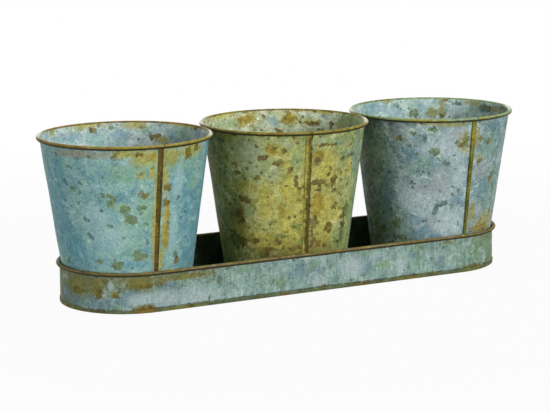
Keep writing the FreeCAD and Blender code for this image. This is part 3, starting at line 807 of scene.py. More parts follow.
def weathered_zinc(
    material, tones, order, marks, scatter, seed, pattern=1.0, streaks=0.0, warp=WARP,
    coats=None, under=None, bare_wear_and_glint=None, metallic=0.0,
):
    """Galvanised sheet with a stained patina, built coat by coat.

    tones: the sheet's own colours from deep to pale. order: the coats from the bottom up. marks:
    the listed marks of each coat. scatter: for a coat, the size of its scattered patches in
    millimetres and how rare they are. pattern: how strongly the crystals show. streaks: how much
    the colour runs up and down. coats: other colours for some coats. under: the
    colour of painted shade on what faces down. bare_wear_and_glint: the coat that is bare metal,
    worn or painted as a highlight. metallic: how metallic the rest still is.
    """
    material.node_tree.nodes.clear()
    add = partial(add_node, material)
    zinc = zinc_pattern(material, seed, warp)
    colour = sheet_tone(material, zinc, tones, pattern, streaks)
    colour, roughness, masks = lay_coats(
        material, zinc, colour, order, marks, scatter, coats or {}, seed, warp
    )
    # Painted shade: the faces that point down are mixed towards a dark colour.
    if under:
        normal = add("ShaderNodeTexCoord", out="Normal")
        upward = add("ShaderNodeSeparateXYZ", {0: normal}, out="Z")
        span = {0: upward} | SHADE_BELOW_EDGE
        below = add("ShaderNodeMapRange", span, interpolation_type="SMOOTHSTEP")
        colours = {0: below, 6: colour, 7: linear(under)}
        colour = add("ShaderNodeMix", colours, out=2, data_type="RGBA")
    thick = add(
        "ShaderNodeMath", {0: zinc["cloud"], 1: PIT_CLOUDS, 2: zinc["specks"]},
        operation="MULTIPLY_ADD",
    )
    pits = add("ShaderNodeMapRange", {0: thick} | PIT_EDGE, interpolation_type="SMOOTHSTEP")
    dimmer = add("ShaderNodeMapRange", {0: zinc["grain"]} | GRAIN_LIGHT)
    dimmer = add("ShaderNodeMath", {0: pits, 1: PIT_DEPTH, 2: dimmer}, operation="MULTIPLY_ADD")
    colours = {0: 1.0, 6: colour, 7: dimmer}
    colour = add("ShaderNodeMix", colours, out=2, data_type="RGBA", blend_type="MULTIPLY")
    height = add_up(material, zinc, BUMP_SHARES, 0.5)
    bump = add(
        "ShaderNodeBump",
        {"Height": height, "Strength": BUMP_STRENGTH, "Distance": BUMP_HEIGHT * MM},
    )
    if bare_wear_and_glint in masks:
        metallic = add("ShaderNodeMath", {0: masks[bare_wear_and_glint], 1: BARE_SHINE}, operation="MULTIPLY")
    surface = add(
        "ShaderNodeBsdfPrincipled",
        {"Base Color": colour, "Metallic": metallic, "Roughness": roughness,
         "Specular IOR Level": CRUST_SPECULAR, "Normal": bump},
    )
    add("ShaderNodeOutputMaterial", {"Surface": surface}, out=None)
    print(material.name, "has", len(material.node_tree.nodes), "nodes")


# %% [markdown]
# ## Marks laid one by one
# The washes and flakes that catch the eye are laid where the photograph shows them, and others
# fill in between. On a pot a mark is (angle round the pot in degrees, height, width, height of
# the mark, tilt), with -90 degrees at the front. On the tray the first number is the way along
# the band from the middle of its front. All lengths are millimetres.

# %% Where the marks are on the left pot
LEFT_MARKS = {
    # The tall blue marks from -62 to -34 degrees lie along the pot's right edge as the camera sees
    # it: partly blue stain, partly painted reflection along that edge.
    "blue": [
        (-175, 62, 28, 60), (-44, 44, 24, 56), (-53, 33, 16, 24), (-160, 38, 28, 22),
        (-114, 30, 26, 5), (-34, 62, 20, 74), (-166, 86, 14, 16), (-62, 62, 16, 50),
    ],
    "green": [
        (-115, 89, 19, 7), (-98, 65, 12, 30), (-113, 46, 20, 19), (-56, 77, 12, 9),
        (-96, 90, 28, 20), (-70, 93, 30, 14), (-112, 84, 24, 8), (-118, 66, 16, 6),
    ],
    "pale": [
        (-138, 59, 23, 14), (-125, 46, 27, 16), (-112, 94, 10, 4), (-73, 79, 8, 24),
        (-74, 48, 7, 34),
    ],
    "mauve": [(-138, 98, 54, 5), (-91.5, 42, 3.4, 56)],
    "ochre": [
        (-99, 96, 20, 12), (-81, 96, 14, 12), (-62, 98, 26, 9), (-91, 58, 3.4, 60),
        (-84, 82, 5, 24), (-82, 53, 6, 34), (-102, 86, 5, 6), (-94, 87, 4, 10), (-85, 31, 4, 18),
        (-112, 99, 16, 6),
    ],
    "amber": [(-80.5, 46, 4.2, 15), (-80, 60, 2.6, 22), (-89, 49, 2.3, 14), (-94, 96, 4, 5.5)],
    "olive": [
        (-114, 65, 6.5, 7), (-112, 59, 6, 7, -30), (-108, 57, 5, 6.5), (-123, 69, 6, 6),
        (-126, 73, 10, 2.2, -10), (-103, 35, 10, 7), (-121, 30, 9, 6), (-136, 32, 5.5, 2.6),
        (-70, 34, 4.3, 3.4), (-153, 76, 4, 3), (-98, 56, 2.5, 5, 30), (-101, 65, 6, 3),
        (-96, 90, 3.5, 4), (-170, 30, 4, 3),
    ],
    "brown": [
        (-120, 98, 4, 5), (-104, 98, 4.5, 5), (-65, 96, 7.5, 8), (-57, 98, 4.5, 5),
        (-100, 73, 5.5, 5.2), (-82, 77, 5, 5.5), (-83, 68, 4.8, 5.5), (-68, 30, 4.5, 5),
    ],
    "dark": [
        (-125, 54, 3.2, 2.8), (-97, 44, 1.6, 3.5), (-161, 80, 4, 4), (-144, 58, 5, 3),
        (-142, 48, 4, 5), (-131, 64, 4, 3), (-71, 80, 2, 3.6), (-62, 59, 2.6, 4), (-66, 56, 2, 4),
    ],
}
print("marks on the left pot:", sum(map(len, LEFT_MARKS.values())))

# %% Where the marks are on the middle pot
MIDDLE_MARKS = {
    "green": [
        (-80, 96, 54, 8), (-39, 49, 34, 70), (-67, 33, 14, 18), (-118, 96, 23, 8),
        (-139, 84, 24, 32), (-108, 84, 14, 22), (-70, 88, 18, 12),
    ],
    "pale": [
        (-90, 97, 7, 4), (-141, 79, 12, 7), (-142, 90, 26, 15), (-122, 95, 16, 6), (-75, 49, 7, 6),
        (-76, 78, 6, 6), (-104, 76, 7, 14), (-124, 76, 12, 10),
    ],
    "blue": [(-76, 95, 11, 4), (-40, 60, 14, 60), (-64, 86, 10, 8), (-50, 84, 14, 36)],
    # The wide olive marks here and the brown flakes low on the pot make it darker towards its foot.
    "mauve": [(-122, 29, 56, 18), (-84, 28, 28, 13), (-160, 44, 16, 34)],
    "ochre": [
        (-125, 92, 12, 11), (-113, 66, 19, 28), (-114, 44, 21, 30), (-132, 58, 15, 30),
        (-148, 67, 20, 10), (-139, 34, 21, 13), (-86, 78, 24, 27), (-84, 47, 21, 42),
        (-73, 48, 15, 12), (-158, 37, 20, 20), (-103, 60, 8, 60),
    ],
    "amber": [(-120, 55, 5, 6), (-91, 57, 11, 16), (-92, 88, 9, 5), (-126, 92, 8, 6)],
    "olive": [
        (-129, 46, 4.2, 5), (-107, 43, 5, 6), (-57, 49, 8, 11), (-60, 36, 7, 13),
        (-102, 32, 6, 7.5), (-165, 32, 9, 12), (-119, 37, 9, 4),
    ],
    "brown": [
        (-133, 87, 6.5, 4.6), (-157, 82, 6.5, 4.4), (-138, 74, 4, 5.5), (-113, 79, 3, 5, -40),
        (-118, 92, 2.8, 3), (-123, 84, 6.5, 3), (-74, 54, 8.5, 4.5, 35), (-78, 40, 7.5, 6.3),
        (-106, 60, 4.3, 2), (-114, 50, 1.7, 5), (-109, 50, 2.8, 3), (-151, 59, 10, 6),
        (-156, 49, 6.5, 14), (-124, 33, 5.2, 4), (-103, 29, 9, 3.4), (-80, 28, 4.5, 3.6),
        (-94, 34, 3.2, 13), (-71, 84, 4.5, 3.5), (-86, 94, 22, 2.2), (-77, 71, 6.5, 6.8),
        (-63, 46, 5, 5), (-110, 28, 7, 4), (-132, 27, 9, 4), (-88, 31, 4, 6), (-90, 66, 5, 4),
    ],
    "dark": [
        (-109, 72, 3, 7.5, -25), (-93, 84, 5, 8, -20), (-92, 71, 12, 4), (-83, 68, 3.3, 2.8),
        (-93, 45, 6.8, 8), (-155, 31, 8.5, 5), (-143, 32, 5.3, 3.6), (-60, 85, 9, 3),
        (-148, 72, 2.4, 2.4), (-60, 41, 6, 6),
    ],
}
print("marks on the middle pot:", sum(map(len, MIDDLE_MARKS.values())))

# %% Where the marks are on the right pot
RIGHT_MARKS = {
    "green": [
        (-168, 82, 20, 38), (-126, 75, 13, 10), (-69, 82, 28, 24), (-60, 52, 24, 36),
        (-104, 99, 22, 4), (-160, 31, 34, 22),
    ],
    "blue": [
        (-120, 75, 10, 10), (-127, 28, 15, 11), (-158, 52, 9, 24), (-133, 36, 10, 10),
        (-70, 55, 18, 14), (-66, 95, 16, 8), (-162, 38, 14, 24), (-137, 80, 12, 10),
        (-98, 50, 8, 8),
    ],
    "pale": [
        (-104, 88, 22, 22), (-124, 84, 10, 7), (-134, 51, 23, 19), (-105, 34, 22, 18),
        (-98, 66, 11, 24), (-127, 43, 12, 14), (-110, 55, 16, 12),
    ],
    "mauve": [
        (-77, 68, 15, 12), (-120, 34, 5, 12), (-113, 62, 14, 22), (-128, 56, 12, 10),
        (-103, 92, 10, 10),
    ],
    "ochre": [
        (-63, 31, 22, 16), (-82, 40, 6, 16), (-81, 76, 6, 7), (-122, 100, 20, 2.6),
        (-85, 90, 5, 14), (-96, 87, 8, 17), (-108, 99.5, 30, 3),
    ],
    "amber": [(-68, 28, 22, 6)],
    "olive": [
        (-120, 96, 7, 4.6), (-135, 94, 4, 2.8), (-136, 80, 9, 2), (-152, 33, 5, 10, -35),
        (-168, 28, 6, 4), (-150, 23, 12, 4), (-95.5, 88, 3.4, 9), (-102, 88, 3, 4),
        (-62, 64, 6, 3.5), (-58, 53, 4, 7), (-119, 82, 8, 5),
    ],
    "brown": [
        (-145, 90, 6, 3), (-99, 86, 2.6, 5), (-82, 89, 4, 5), (-73, 87, 3.6, 5.4),
        (-65, 60, 6, 3.6), (-81, 74, 2.8, 6.5), (-128, 100, 5, 2),
    ],
    "dark": [
        (-114, 45, 15, 4, 35), (-117, 42, 8, 3, 35), (-126, 91, 3, 2.5), (-136, 61, 4, 3.3),
        (-110, 74, 5, 3),
    ],
}
print("marks on the right pot:", sum(map(len, RIGHT_MARKS.values())))

# %% Where the marks are inside the pots
LEFT_INSIDE_MARKS = {
    "blue": [(109, 95, 16, 5), (70, 94, 14, 8), (31, 96, 9, 7)],
    "green": [(52, 98, 6.6, 5), (21, 96, 9, 5)],
    "pale": [(87, 93, 27, 10), (44, 98, 8.5, 3.6)],
    "ochre": [
        (93, 102, 25, 5.5), (60, 101, 17, 6), (20, 103, 40, 4), (129, 101, 8, 4), (39, 92, 10, 5),
    ],
    "brown": [(45, 94, 10, 4), (91, 98, 6, 2.7), (9, 101, 7, 2)],
    "olive": [(76, 99, 6.4, 2)],
}
MIDDLE_INSIDE_MARKS = {
    "green": [(113, 96, 29, 8), (6, 98, 30, 10)],
    "blue": [(70, 95, 11, 8), (30, 99, 8, 3.3)],
    "pale": [(79, 93, 10, 6)],
    "ochre": [
        (116, 102, 26, 5), (91, 98, 16, 10), (59, 97, 15, 9), (42, 95, 14, 4), (33, 102, 22, 3),
    ],
    "amber": [(92, 97, 11, 8), (59, 97, 11, 7), (53, 102, 8.4, 2.5)],
    "brown": [(41, 94, 12, 3.3), (24, 95, 6, 3.4), (92, 102, 4.6, 1.7), (78, 98, 1.7, 3.3)],
}
RIGHT_INSIDE_MARKS = {
    "blue": [(105, 98, 26, 7), (86, 95, 12, 6), (64, 97, 7, 5)],
    "green": [(14, 98, 24, 8)],
    "pale": [(89, 95, 9, 6), (38, 95, 14, 7)],
    "ochre": [
        (56, 93, 8, 8), (93, 102, 8, 3), (49, 96, 5, 13), (24, 101, 17, 3.4), (-1, 99, 36, 4),
    ],
    "olive": [(71, 93, 8, 5.5), (74, 96, 3, 2)],
    "brown": [(48, 102, 6, 3.2), (49, 91, 3.5, 3), (80, 101, 3, 1.5)],
    "dark": [(38, 100, 9, 3), (11, 98, 14, 5), (-18, 101, 20, 4)],
}
for side, table in zip(POTS, (LEFT_INSIDE_MARKS, MIDDLE_INSIDE_MARKS, RIGHT_INSIDE_MARKS)):
    print("marks inside the", side, "pot:", sum(map(len, table.values())))

# %% Where the marks are on the tray
TRAY_MARKS = {
    "mauve": [
        (-178, 13, 52, 42), (-158, 17, 46, 26), (-142, 20, 40, 18), (-120, 20.5, 48, 15),
        (-92, 21.5, 56, 9), (140, 21, 60, 8), (150, 4, 60, 8), (166, 12, 70, 44),
    ],
    "blue": [
        (-173, 9, 14, 9), (-152, 6, 40, 9), (-131, 8, 12, 8), (-124, 11, 15, 9), (-103, 16, 13, 5),
        (-8, 14, 21, 12), (36, 12, 10, 11), (72, 15.5, 8, 5), (93, 9, 8, 9),
    ],
    "green": [
        (-133, 4, 6, 3), (-26, 8, 10, 6), (-50, 20, 16, 5), (82, 2.3, 15, 4), (50, 12, 17, 6),
        (152, 12, 44, 24), (128, 15, 40, 20), (170, 12, 60, 34),
    ],
    # The pale marks at -120, -103 and -82 along, low on the band, are a painted highlight where it
    # begins to turn round its left end; the other pale marks are pale stain.
    "pale": [
        (-103, 7.5, 22, 10), (-82, 6.3, 28, 10.5), (3, 6.3, 11, 8), (26, 13, 18, 15),
        (43, 19, 7, 6), (62, 11, 8, 11), (-120, 8.5, 16, 8), (-137, 17, 4, 7),
    ],
    "ochre": [
        (-160.5, 16, 22, 14), (-146, 16, 9, 13), (-120.5, 18.8, 23, 10), (-134.5, 12, 6, 5),
        (-106, 18.5, 9, 5), (-88, 19.6, 36, 4), (68, 1.8, 19, 2.8), (98, 21, 13, 2.7),
    ],
    "amber": [
        (-162, 12.5, 10, 5), (-145.5, 12, 6, 6), (-141, 20.2, 5, 3), (-134.5, 11.5, 5, 4),
        (-117, 17, 12, 4), (-116.5, 3.0, 15, 5), (118, 3.4, 18, 3),
    ],
    "brown": [(-116.5, 2.6, 13, 3.6), (-78, 1.5, 6, 2.3), (9, 3, 11, 2)],
    "dark": [(-74, 5.3, 3.4, 5.2)],
    # A dark line runs round just above the hem, and the one under the bead is painted shadow.
    "dirt": [(0, 2.6, 360, 0.7), (0, 23.1, 360, 0.6)],
}
print("marks on the tray:", sum(map(len, TRAY_MARKS.values())))

# %% Where the marks are on the pots' backs
# The photograph doesn't show the backs, so these carry the same kinds of mark, and each pot
# turns them its own way.
BACK_MARKS = {
    "blue": [(118, 60, 26, 46), (58, 45, 22, 30)],
    "green": [(92, 80, 30, 18)],
    "ochre": [(75, 96, 30, 9), (112, 97, 20, 7), (38, 40, 8, 26)],
    "olive": [(95, 62, 7, 6), (116, 40, 8, 6), (55, 74, 5, 7)],
    "brown": [(78, 92, 6, 5), (40, 48, 5, 6), (104, 32, 8, 4)],
}
BACK_TURN = {"left": 0, "middle": 14, "right": -18}


def with_back(side, table):
    """A pot's own marks and those of its back."""
    both = {kind: list(rows) for kind, rows in table.items()}
    for kind, rows in BACK_MARKS.items():
        turned = [(angle + BACK_TURN[side], *rest) for angle, *rest in rows]
        both[kind] = both.get(kind, []) + turned
    return both


print("marks on each back:", sum(map(len, BACK_MARKS.values())))


# %% Turn the tables into marks on the sheet
# How far a mark reaches in and out of the sheet: a tall one farther, because the wall leans.
MARK_REACH = 5
LEAN_REACH = 0.07
FRONT = math.radians(-90)


def pot_marks(side, table, depth=0):
    """Marks on one pot's wall, or at a depth inside it."""

    def lay(angle, height, width, tall, tilt=0):
        reach = pot_line.at(height, depth)[0]
        turn = math.radians(angle)
        spot = (middles[side] + reach * math.cos(turn), reach * math.sin(turn), height)
        size = (MARK_REACH + width / 2 + tall * LEAN_REACH, width / 2, tall / 2)
        return spot, angle, size, tilt

    return {kind: [lay(*row) for row in rows] for kind, rows in table.items()}


def tray_marks(table):
    """Marks on the tray's band, counted along its front and round its ends."""
    reach = tray_line.foot[0]

    def lay(along, height, width, tall):
        past = max(abs(along) - TRAY_END, 0)
        side = math.copysign(1, along)
        turn = FRONT + side * past / reach
        straight = side * (abs(along) - past)
        spot = (straight + reach * math.cos(turn), reach * math.sin(turn), height)
        return spot, math.degrees(turn), (MARK_REACH + width / 2, width / 2, tall / 2), 0

    return {kind: [lay(*row) for row in rows] for kind, rows in table.items()}


# %% [markdown]
# ## Patina of the three pots
# All three are hot-dip galvanised sheet, stained with acid and left to weather. The left pot is
# the bluest, the middle one is nearly covered in yellow and olive, and the right one has stayed
# pale grey. Each has its own tones, its own coats and its own scatter of them. Tones inside are
# made lighter, as painted light, to make up for the little lamp light that reaches into the pots.

# %% The finish of each pot
POT_FINISH = {
    # Left: an even cyan stain with soft edges. The eye sees smooth cyan clouds, fine pale crystal
    # edges, ochre that has run from the rim and the seam, and a few crisp olive flakes.
    "left": dict(
        tones=["#537f87", "#679299", "#7aa3a2", "#8cb2ab", "#abccc4"], pattern=0.85,
        inside_tones_painted_lighter=["#6b878e", "#91abac", "#adc0bd", "#c1cec9", "#d9e0dc"],
        marks=LEFT_MARKS, inside=LEFT_INSIDE_MARKS,
        scatter={"green": (14, 0.62), "pale": (7, 0.6), "olive": (3.4, 0.71), "dark": (2.4, 0.67)},
        inside_scatter={
            "pale": (7, 0.6), "green": (12, 0.62), "dark": (2.4, 0.66), "amber": (3, 0.7),
        },
        coats={
            "dark": ("#58756a", "#42605c"), "pale": ("#a9c9ca", "#8bb3b7"),
            "blue": ("#639ba8", "#4f8897"), "green": ("#8fb38b", "#78a583"),
            "ochre": ("#bcb242", "#8f8d3c"), "mauve": ("#9f9b84", "#86866e"),
            "olive": ("#76844c", "#5a6b38"), "amber": ("#ae9731", "#8f7c2c"),
        },
    ),
    # Middle: a yellow stain rubbed over grey-green. The eye sees mossy mottling, yellow in the
    # middle and grey-green above, with the most brown flakes of the three near the seam, and it is
    # darker in olive and brown towards the foot, just above the tray's rim.
    "middle": dict(
        tones=["#505d32", "#798246", "#9ca05c", "#b6b876", "#cfcfa0"],
        inside_tones_painted_lighter=["#788359", "#a1aa7f", "#bcc59e", "#ccd5b8", "#dbe2d1"],
        marks=MIDDLE_MARKS, inside=MIDDLE_INSIDE_MARKS,
        scatter={
            "ochre": (11, 0.6), "green": (12, 0.6), "olive": (3.4, 0.69), "brown": (2.6, 0.68),
            "dark": (1.7, 0.66),
        },
        inside_scatter={
            "green": (9, 0.6), "blue": (4, 0.64), "brown": (3, 0.68), "dark": (2.4, 0.66),
            "amber": (3, 0.68),
        },
        coats={
            "dark": ("#57452a", "#40351c"), "ochre": ("#c3ba56", "#8f8a3e"),
            "pale": ("#b3bd9a", "#93a07b"), "blue": ("#7a9f98", "#5f847f"),
            "green": ("#94aa76", "#79905f"), "mauve": ("#6f6b20", "#4e4c16"),
            "amber": ("#a79334", "#826f22"), "brown": ("#7a6730", "#564821"),
        },
    ),
    # Right: hardly stained. The eye sees the grey zinc itself, with lilac and blue clouds, green
    # towards its shaded side, and ochre only beside the seam and at the foot.
    "right": dict(
        tones=["#4c6466", "#698383", "#869e9d", "#9eb5b4", "#c3d1d0"],
        inside_tones_painted_lighter=["#6a8982", "#8caaa1", "#a5c0b8", "#bacfc8", "#d2dfda"],
        marks=RIGHT_MARKS, inside=RIGHT_INSIDE_MARKS,
        scatter={"blue": (11, 0.6), "green": (10, 0.62), "olive": (3.4, 0.69), "dark": (2.4, 0.66)},
        inside_scatter={
            "pale": (7, 0.6), "green": (10, 0.6), "dark": (2.4, 0.66), "amber": (3, 0.7),
        },
        coats={
            "dark": ("#566a5c", "#415148"), "blue": ("#6b90a1", "#577a8a"),
            "green": ("#7fa08c", "#668777"), "ochre": ("#a9a256", "#7f7c40"),
            "mauve": ("#a0a8aa", "#8a9497"), "pale": ("#bccbce", "#a1b3b8"),
            "amber": ("#9f8c3c", "#7f7135"), "brown": ("#80733a", "#5f582c"),
        },
    ),
}
INSIDE_COATS = {"blue": ("#8aaab6", "#7296a5")}
print("tones of each sheet:", len(POT_FINISH["left"]["tones"]))

# %% Finish the pots
# Dark lines on the pots: those just under each bead are painted shadow of the bead, and the middle
# pot's line beside its rib is partly dirt and partly painted shade of the rib's step.
SHADOW_AND_DIRT_LINES = {
    "left": [(-75, 102.0, 90, 1.6), (-130, 102.1, 60, 1.3)],
    "middle": [(-120, 101.8, 130, 1.9), (-60, 102.0, 60, 1.3), (-97.9, 52, 1.5, 130)],
    "right": [(-120, 101.9, 110, 1.5), (-70, 102.0, 60, 1.2)],
}
# Each finish has a seed, which moves its noises. Those of the pots are steps apart.
POT_STEP = 10
INSIDE_STEP = 5
for number, (side, finish) in enumerate(POT_FINISH.items()):
    outside = walls[side].data.materials[OUTSIDE]
    outside.name = f"stained_galvanised_sheet_{side}_pot"
    marks = pot_marks(side, with_back(side, finish["marks"]) | {"dirt": SHADOW_AND_DIRT_LINES[side]})
    weathered_zinc(
        outside, finish["tones"], WASHES + FLAKES, marks, finish["scatter"],
        seed=POT_STEP * number, pattern=finish.get("pattern", 1.0), coats=finish["coats"],
    )
    # The inside tones are lighter, as painted light for the little lamp light that reaches in.
    inside = walls[side].data.materials[INSIDE]
    inside.name = f"stained_galvanised_sheet_inside_{side}_pot"
    weathered_zinc(
        inside, finish["inside_tones_painted_lighter"], WASHES + FLAKES, pot_marks(side, finish["inside"], SHEET),
        finish["inside_scatter"], seed=POT_STEP * number + INSIDE_STEP,
        coats=finish["coats"] | INSIDE_COATS,
    )

# %% [markdown]
# ## Beads and seams
# The beads and ribs stand proud, so hands and cloths have rubbed them down to brown and olive.
# Silver is painted at the far left and right of each rim, where it is seen edge-on, as a painted
# highlight of bare zinc. What faces down is darkened nearly to black as painted shade. Each rib
# has a dark line down one edge, partly dirt in the fold and partly painted shade of its step.

# %% Finish the beads
# Painted highlights: pale bare zinc at the far left and right of each rim, seen edge-on.
PAINTED_GLINT_ENDS = [(153, 103.5, 30, 8), (-27, 103.5, 26, 8)]
# Rolled edges: curled over a wire on a wiring machine and rubbed by use. They give the eye a
# bright line above, a dark one below, which is painted shade, and short changes of colour along
# the rim.
BEADS = {
    "left": dict(
        tones=["#40330f", "#624e1c", "#7a6527", "#8c8244"], under="#2e2606",
        marks={
            "pale": PAINTED_GLINT_ENDS, "ochre": [(-98, 104, 60, 8), (-55, 104, 40, 8)],
            "mauve": [(-91, 105, 6, 3)], "dirt": [(-87, 105, 1.6, 9)],
        },
        scatter={"brown": (3, 0.62), "amber": (6, 0.55)},
    ),
    "middle": dict(
        tones=["#3d330f", "#665e28", "#7c7430", "#97903f"], under="#262406",
        marks={"pale": PAINTED_GLINT_ENDS, "ochre": [(-74, 104, 56, 8)], "dirt": [(-99, 105, 1.6, 9)]},
        scatter={"brown": (3, 0.58), "amber": (6, 0.55)},
    ),
    "right": dict(
        tones=["#4c5318", "#6c7a44", "#80946c", "#93ad92"], under="#282b0c",
        marks={
            "pale": PAINTED_GLINT_ENDS, "ochre": [(-130, 104, 20, 8), (-80, 104, 14, 6)],
            "dirt": [(-87.5, 105, 1.6, 9)],
        },
        scatter={"brown": (3, 0.66), "ochre": (6, 0.58)},
    ),
}
# The pale of these coats colours the painted highlights at the far sides of the pot rims.
RUB_COATS = {
    "pale": ("#cdd2bd", "#a5ab93"), "ochre": ("#a39a3a", "#7c7326"),
    "amber": ("#84701f", "#665314"),
}
RUB_WARP = 0.6
BEAD_SEED = 30
RIM_STEP = 7
for number, (side, finish) in enumerate(BEADS.items()):
    bead = walls[side].data.materials[BEAD]
    bead.name = f"rubbed_rolled_edge_{side}_pot"
    weathered_zinc(
        bead, finish["tones"], ["ochre", "amber", "mauve", "brown", "pale", "dirt"],
        pot_marks(side, finish["marks"]), finish["scatter"], seed=BEAD_SEED + RIM_STEP * number,
        under=finish["under"], coats=RUB_COATS, warp=RUB_WARP, bare_wear_and_glint="pale",
    )

# %% Finish the seams
# Lock seams: folded, hooked and hammered flat. The rib is a nearly plain stripe in its own
# colour, rubbed along its middle, with a dark line down one edge, partly dirt in the fold and
# partly painted shade of the rib's step. The table gives each seam's tones from deep to pale and
# its marks.
RIB_SEED = 33
SEAMS = {
    "left": (["#392d08", "#50410e", "#645214", "#796420"], {"dirt": [(-86.2, 55, 4.2, 150)]}),
    "middle": (["#77702a", "#918a38", "#a39a42", "#b0a651"], {"dirt": [(-98.3, 50, 4.4, 150)]}),
    "right": (
        ["#3c420c", "#525813", "#666b1b", "#7c8030"],
        {"ochre": [(-89, 92, 3, 20)], "dirt": [(-91.7, 50, 3.2, 150)]},
    ),
}
for number, (side, (tones, marks)) in enumerate(SEAMS.items()):
    seam = walls[side].data.materials[SEAM]
    seam.name = f"rubbed_lock_seam_{side}_pot"
    weathered_zinc(
        seam, tones, ["ochre", "brown", "dirt"], pot_marks(side, marks), {"brown": (3, 0.66)},
        seed=RIB_SEED + RIM_STEP * number, coats=RUB_COATS, warp=RUB_WARP,
    )

# %% [markdown]
# ## Patina of the tray
# The tray has stood in the wet. Its left end is olive and ochre above and blue-grey below, and
# the stain has run down the band in streaks. Its foot is dirty, a dark line runs round just
# above it, and the line under its bead is painted shadow. Inside, the sheet is nearly black.

# %% Finish the tray's outside
# Galvanised band, stained and rained on: the eye sees grey-green with fine upright streaks.
outside, inside, bead, seam = tray.data.materials
tray_tones = ["#4c6358", "#6b857b", "#7c9a90", "#8ca89f", "#a9bdb7"]
TRAY_COATS = {
    "dark": ("#4b5a4c", "#35423a"), "ochre": ("#7f7b33", "#5a5922"),
    "amber": ("#70671f", "#4f4913"), "mauve": ("#6b6c33", "#515326"),
    "green": ("#7c9a72", "#67835c"), "blue": ("#6b8b94", "#56727d"), "pale": ("#b7c2c4", "#9caeb0"),
    "brown": ("#7a5f1e", "#574315"),
}
outside.name = "stained_galvanised_band_of_tray"
TRAY_SCATTER = {
    "green": (12, 0.6), "blue": (12, 0.63), "pale": (8, 0.62), "mauve": (9, 0.67),
    "dark": (1.6, 0.69),
}
tray_order = ["mauve", "blue", "green", "pale", "ochre", "amber", "brown", "dark", "dirt"]
weathered_zinc(
    outside, tray_tones, tray_order, tray_marks(TRAY_MARKS), TRAY_SCATTER, seed=60, pattern=0.7,
    streaks=1.0, coats=TRAY_COATS,
)

# %% Finish the tray's inside, bead and seam
# Inside: the same sheet, matt and nearly black.
inside.name = "blackened_sheet_inside_tray"
weathered_zinc(
    inside, ["#2a3828", "#3a4835", "#4a5843", "#5d684f"], ["olive"], {}, {"olive": (6, 0.7)},
    seed=70,
)
# Bead: rolled over its wire and rubbed where the tray is held, brown with some bare zinc, and
# darkened underneath as painted shade.
bead.name = "rubbed_rolled_edge_of_tray"
weathered_zinc(
    bead, ["#382f16", "#5a4c27", "#706239", "#8b8559"], ["pale", "ochre", "brown"], {},
    {"pale": (5, 0.66), "brown": (6, 0.56), "ochre": (8, 0.68)}, seed=80, pattern=0.6,
    under="#2a230d", warp=RUB_WARP, bare_wear_and_glint="pale",
)
# Seam in the back: stained like the band, with more rust where water stood in the fold.
seam.name = "stained_lock_seam_of_tray"
weathered_zinc(seam, tray_tones, ["brown"], {}, {"brown": (3, 0.6)}, seed=90)

# %% Finish the parts kept from the model
# Hem and floor: the plate under the tray, its edge turned up round the band. It stood in
# puddles, so it is the dirtiest and most olive of the sheets.
hem = bpy.data.materials.new("stained_hem_and_floor_of_tray")
hem.use_nodes = True
HEM_MARKS = {
    "ochre": [(-172, 1.2, 34, 6), (-92, 1.2, 30, 5), (68, 1.2, 24, 4), (118, 1.2, 24, 4)],
    "amber": [(-116.5, 1.4, 16, 6)],
}
HEM_COATS = {
    "ochre": ("#80803c", "#5a5f2a"), "amber": ("#7f6622", "#5f4b17"),
    "brown": ("#6b5a22", "#4c431a"),
}
weathered_zinc(
    hem, ["#2f381f", "#46512f", "#5a6646", "#747f62"], ["ochre", "brown", "dark", "amber"],
    tray_marks(HEM_MARKS), {"brown": (9, 0.56), "ochre": (12, 0.66), "dark": (5, 0.62)}, seed=95,
    pattern=0.6, warp=RUB_WARP, coats=HEM_COATS,
)
# Bases: discs pressed in a die, stained by wet soil: duller and darker than the walls, with
# ochre and brown in large soft patches.
base = bpy.data.materials.new("stained_pressed_base")
base.use_nodes = True
BASE_COATS = {
    "ochre": ("#86824c", "#696737"), "brown": ("#6a6038", "#4f4628"),
    "dark": ("#4d5645", "#3a4234"),
}
weathered_zinc(
    base, ["#4c5950", "#65756b", "#7f8f84", "#9cab9d"], ["ochre", "brown", "dark"], {},
    {"ochre": (14, 0.58), "brown": (6, 0.64), "dark": (3, 0.66)}, seed=97, pattern=0.7,
    coats=BASE_COATS,
)
# Wires: drawn steel, shut in by the curl, still metallic with a little rust.
wire = bpy.data.materials.new("drawn_steel_wire")
wire.use_nodes = True
weathered_zinc(
    wire, ["#5e6061", "#7b7d7e", "#96989a"], ["brown"], {}, {"brown": (4, 0.55)}, seed=99,
    metallic=0.9,
)
kept_nodes = {name: node for name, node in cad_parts.items() if not name.endswith("wall")}
for name, node in kept_nodes.items():
    metal = wire if "wire" in name else base if "base" in name else hem
    node.data.materials.clear()
    node.data.materials.append(metal)
    print(name, "has", metal.name)

# %% [markdown]
# ## Floor and light
# The picture is a studio shot on white. A big soft lamp stands before the planter, a little to
# the right and above, and a soft one to its left, which the left pot keeps off its neighbours,
# so their left sides fall into deep shade. One from above reaches into the pots, and a weak
# one behind shows the backs. The camera sees the floor and the world as white, and metal
# mirrors them so too, while a little of the paper's own shading keeps the shadow.

# %% Lamps
LAMPS = {
    "front_softbox": dict(spot=(0.35, -1.75, 0.65), size=0.8, power=27.8),
    "left_softbox": dict(spot=(-1.6, -0.45, 0.14), size=0.4, power=11.3),
    "top_softbox": dict(spot=(0.2, -0.15, 1.5), size=0.9, power=15.5),
    "back_softbox": dict(spot=(0.5, 1.7, 0.5), size=0.8, power=8),
}
for name, lamp in LAMPS.items():
    bpy.ops.object.light_add(type="AREA", location=lamp["spot"])
    light = bpy.context.object
    light.name = name
    light.data.size = lamp["size"]
    light.data.energy = lamp["power"]
    towards = AIM_POINT - light.location
    light.rotation_euler = towards.to_track_quat("-Z", "Y").to_euler()
print(len(LAMPS), "lamps")


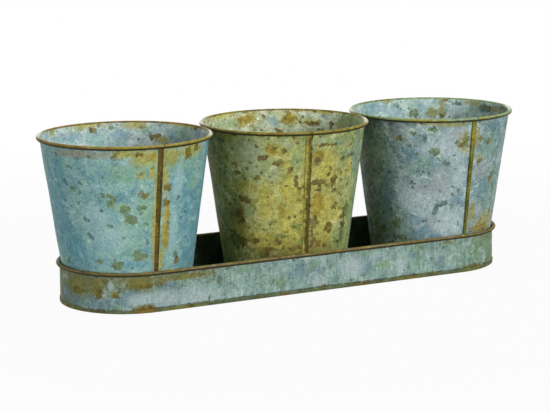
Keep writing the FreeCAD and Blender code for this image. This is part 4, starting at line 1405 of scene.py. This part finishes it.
# %% Paint the floor and the world
def seen_directly(material):
    """1 for rays from the camera, or by way of metal or glass, and 0 for other rays."""
    path = add_node(material, "ShaderNodeLightPath", out=None).outputs
    seen = path["Is Camera Ray"]
    for way in ("Is Glossy Ray", "Is Transmission Ray"):
        seen = add_node(material, "ShaderNodeMath", {0: seen, 1: path[way]}, operation="MAXIMUM")
    return seen


# The paper glows a little less within 0.25 m of the middle than beyond 0.6 m, which leaves room
# for the planter's shadow.
FLOOR_SIZE = 8
FLOOR_LEVEL = -0.0002
FLOOR_GLOW = {1: 0.25, 2: 0.6, 3: 0.96, 4: 1}
WORLD_LIGHT = {1: 0, 2: 1, 3: 0.012, 4: 1}
WHITE = (1, 1, 1, 1)

bpy.ops.object.select_all(action="DESELECT")
bpy.ops.mesh.primitive_plane_add(size=FLOOR_SIZE, location=(0, 0, FLOOR_LEVEL))
floor = bpy.context.object
floor.name = "studio_floor"
bpy.ops.object.transform_apply()
paper = bpy.data.materials.new("matt_white_paper")
paper.use_nodes = True
paper.node_tree.nodes.clear()
add = partial(add_node, paper)
matt = add("ShaderNodeBsdfDiffuse", {"Color": linear("#8f8f8d")})
glow = add("ShaderNodeEmission", {"Color": WHITE, "Strength": 1})
place = add("ShaderNodeTexCoord", out="Object")
away = add("ShaderNodeVectorMath", {0: place}, out="Value", operation="LENGTH")
glowing = add("ShaderNodeMapRange", {0: away} | FLOOR_GLOW)
share = add("ShaderNodeMath", {0: seen_directly(paper), 1: glowing}, operation="MULTIPLY")
mixed = add("ShaderNodeMixShader", {0: share, 1: matt, 2: glow})
add("ShaderNodeOutputMaterial", {"Surface": mixed}, out=None)
floor.data.materials.append(paper)

world = bpy.data.worlds.new("studio")
bpy.context.scene.world = world
world.use_nodes = True
world.node_tree.nodes.clear()
add = partial(add_node, world)
level = add("ShaderNodeMapRange", {0: seen_directly(world)} | WORLD_LIGHT)
sky = add("ShaderNodeBackground", {"Color": WHITE, "Strength": level})
add("ShaderNodeOutputWorld", {"Surface": sky}, out=None)
bpy.context.scene.view_settings.view_transform = "Standard"
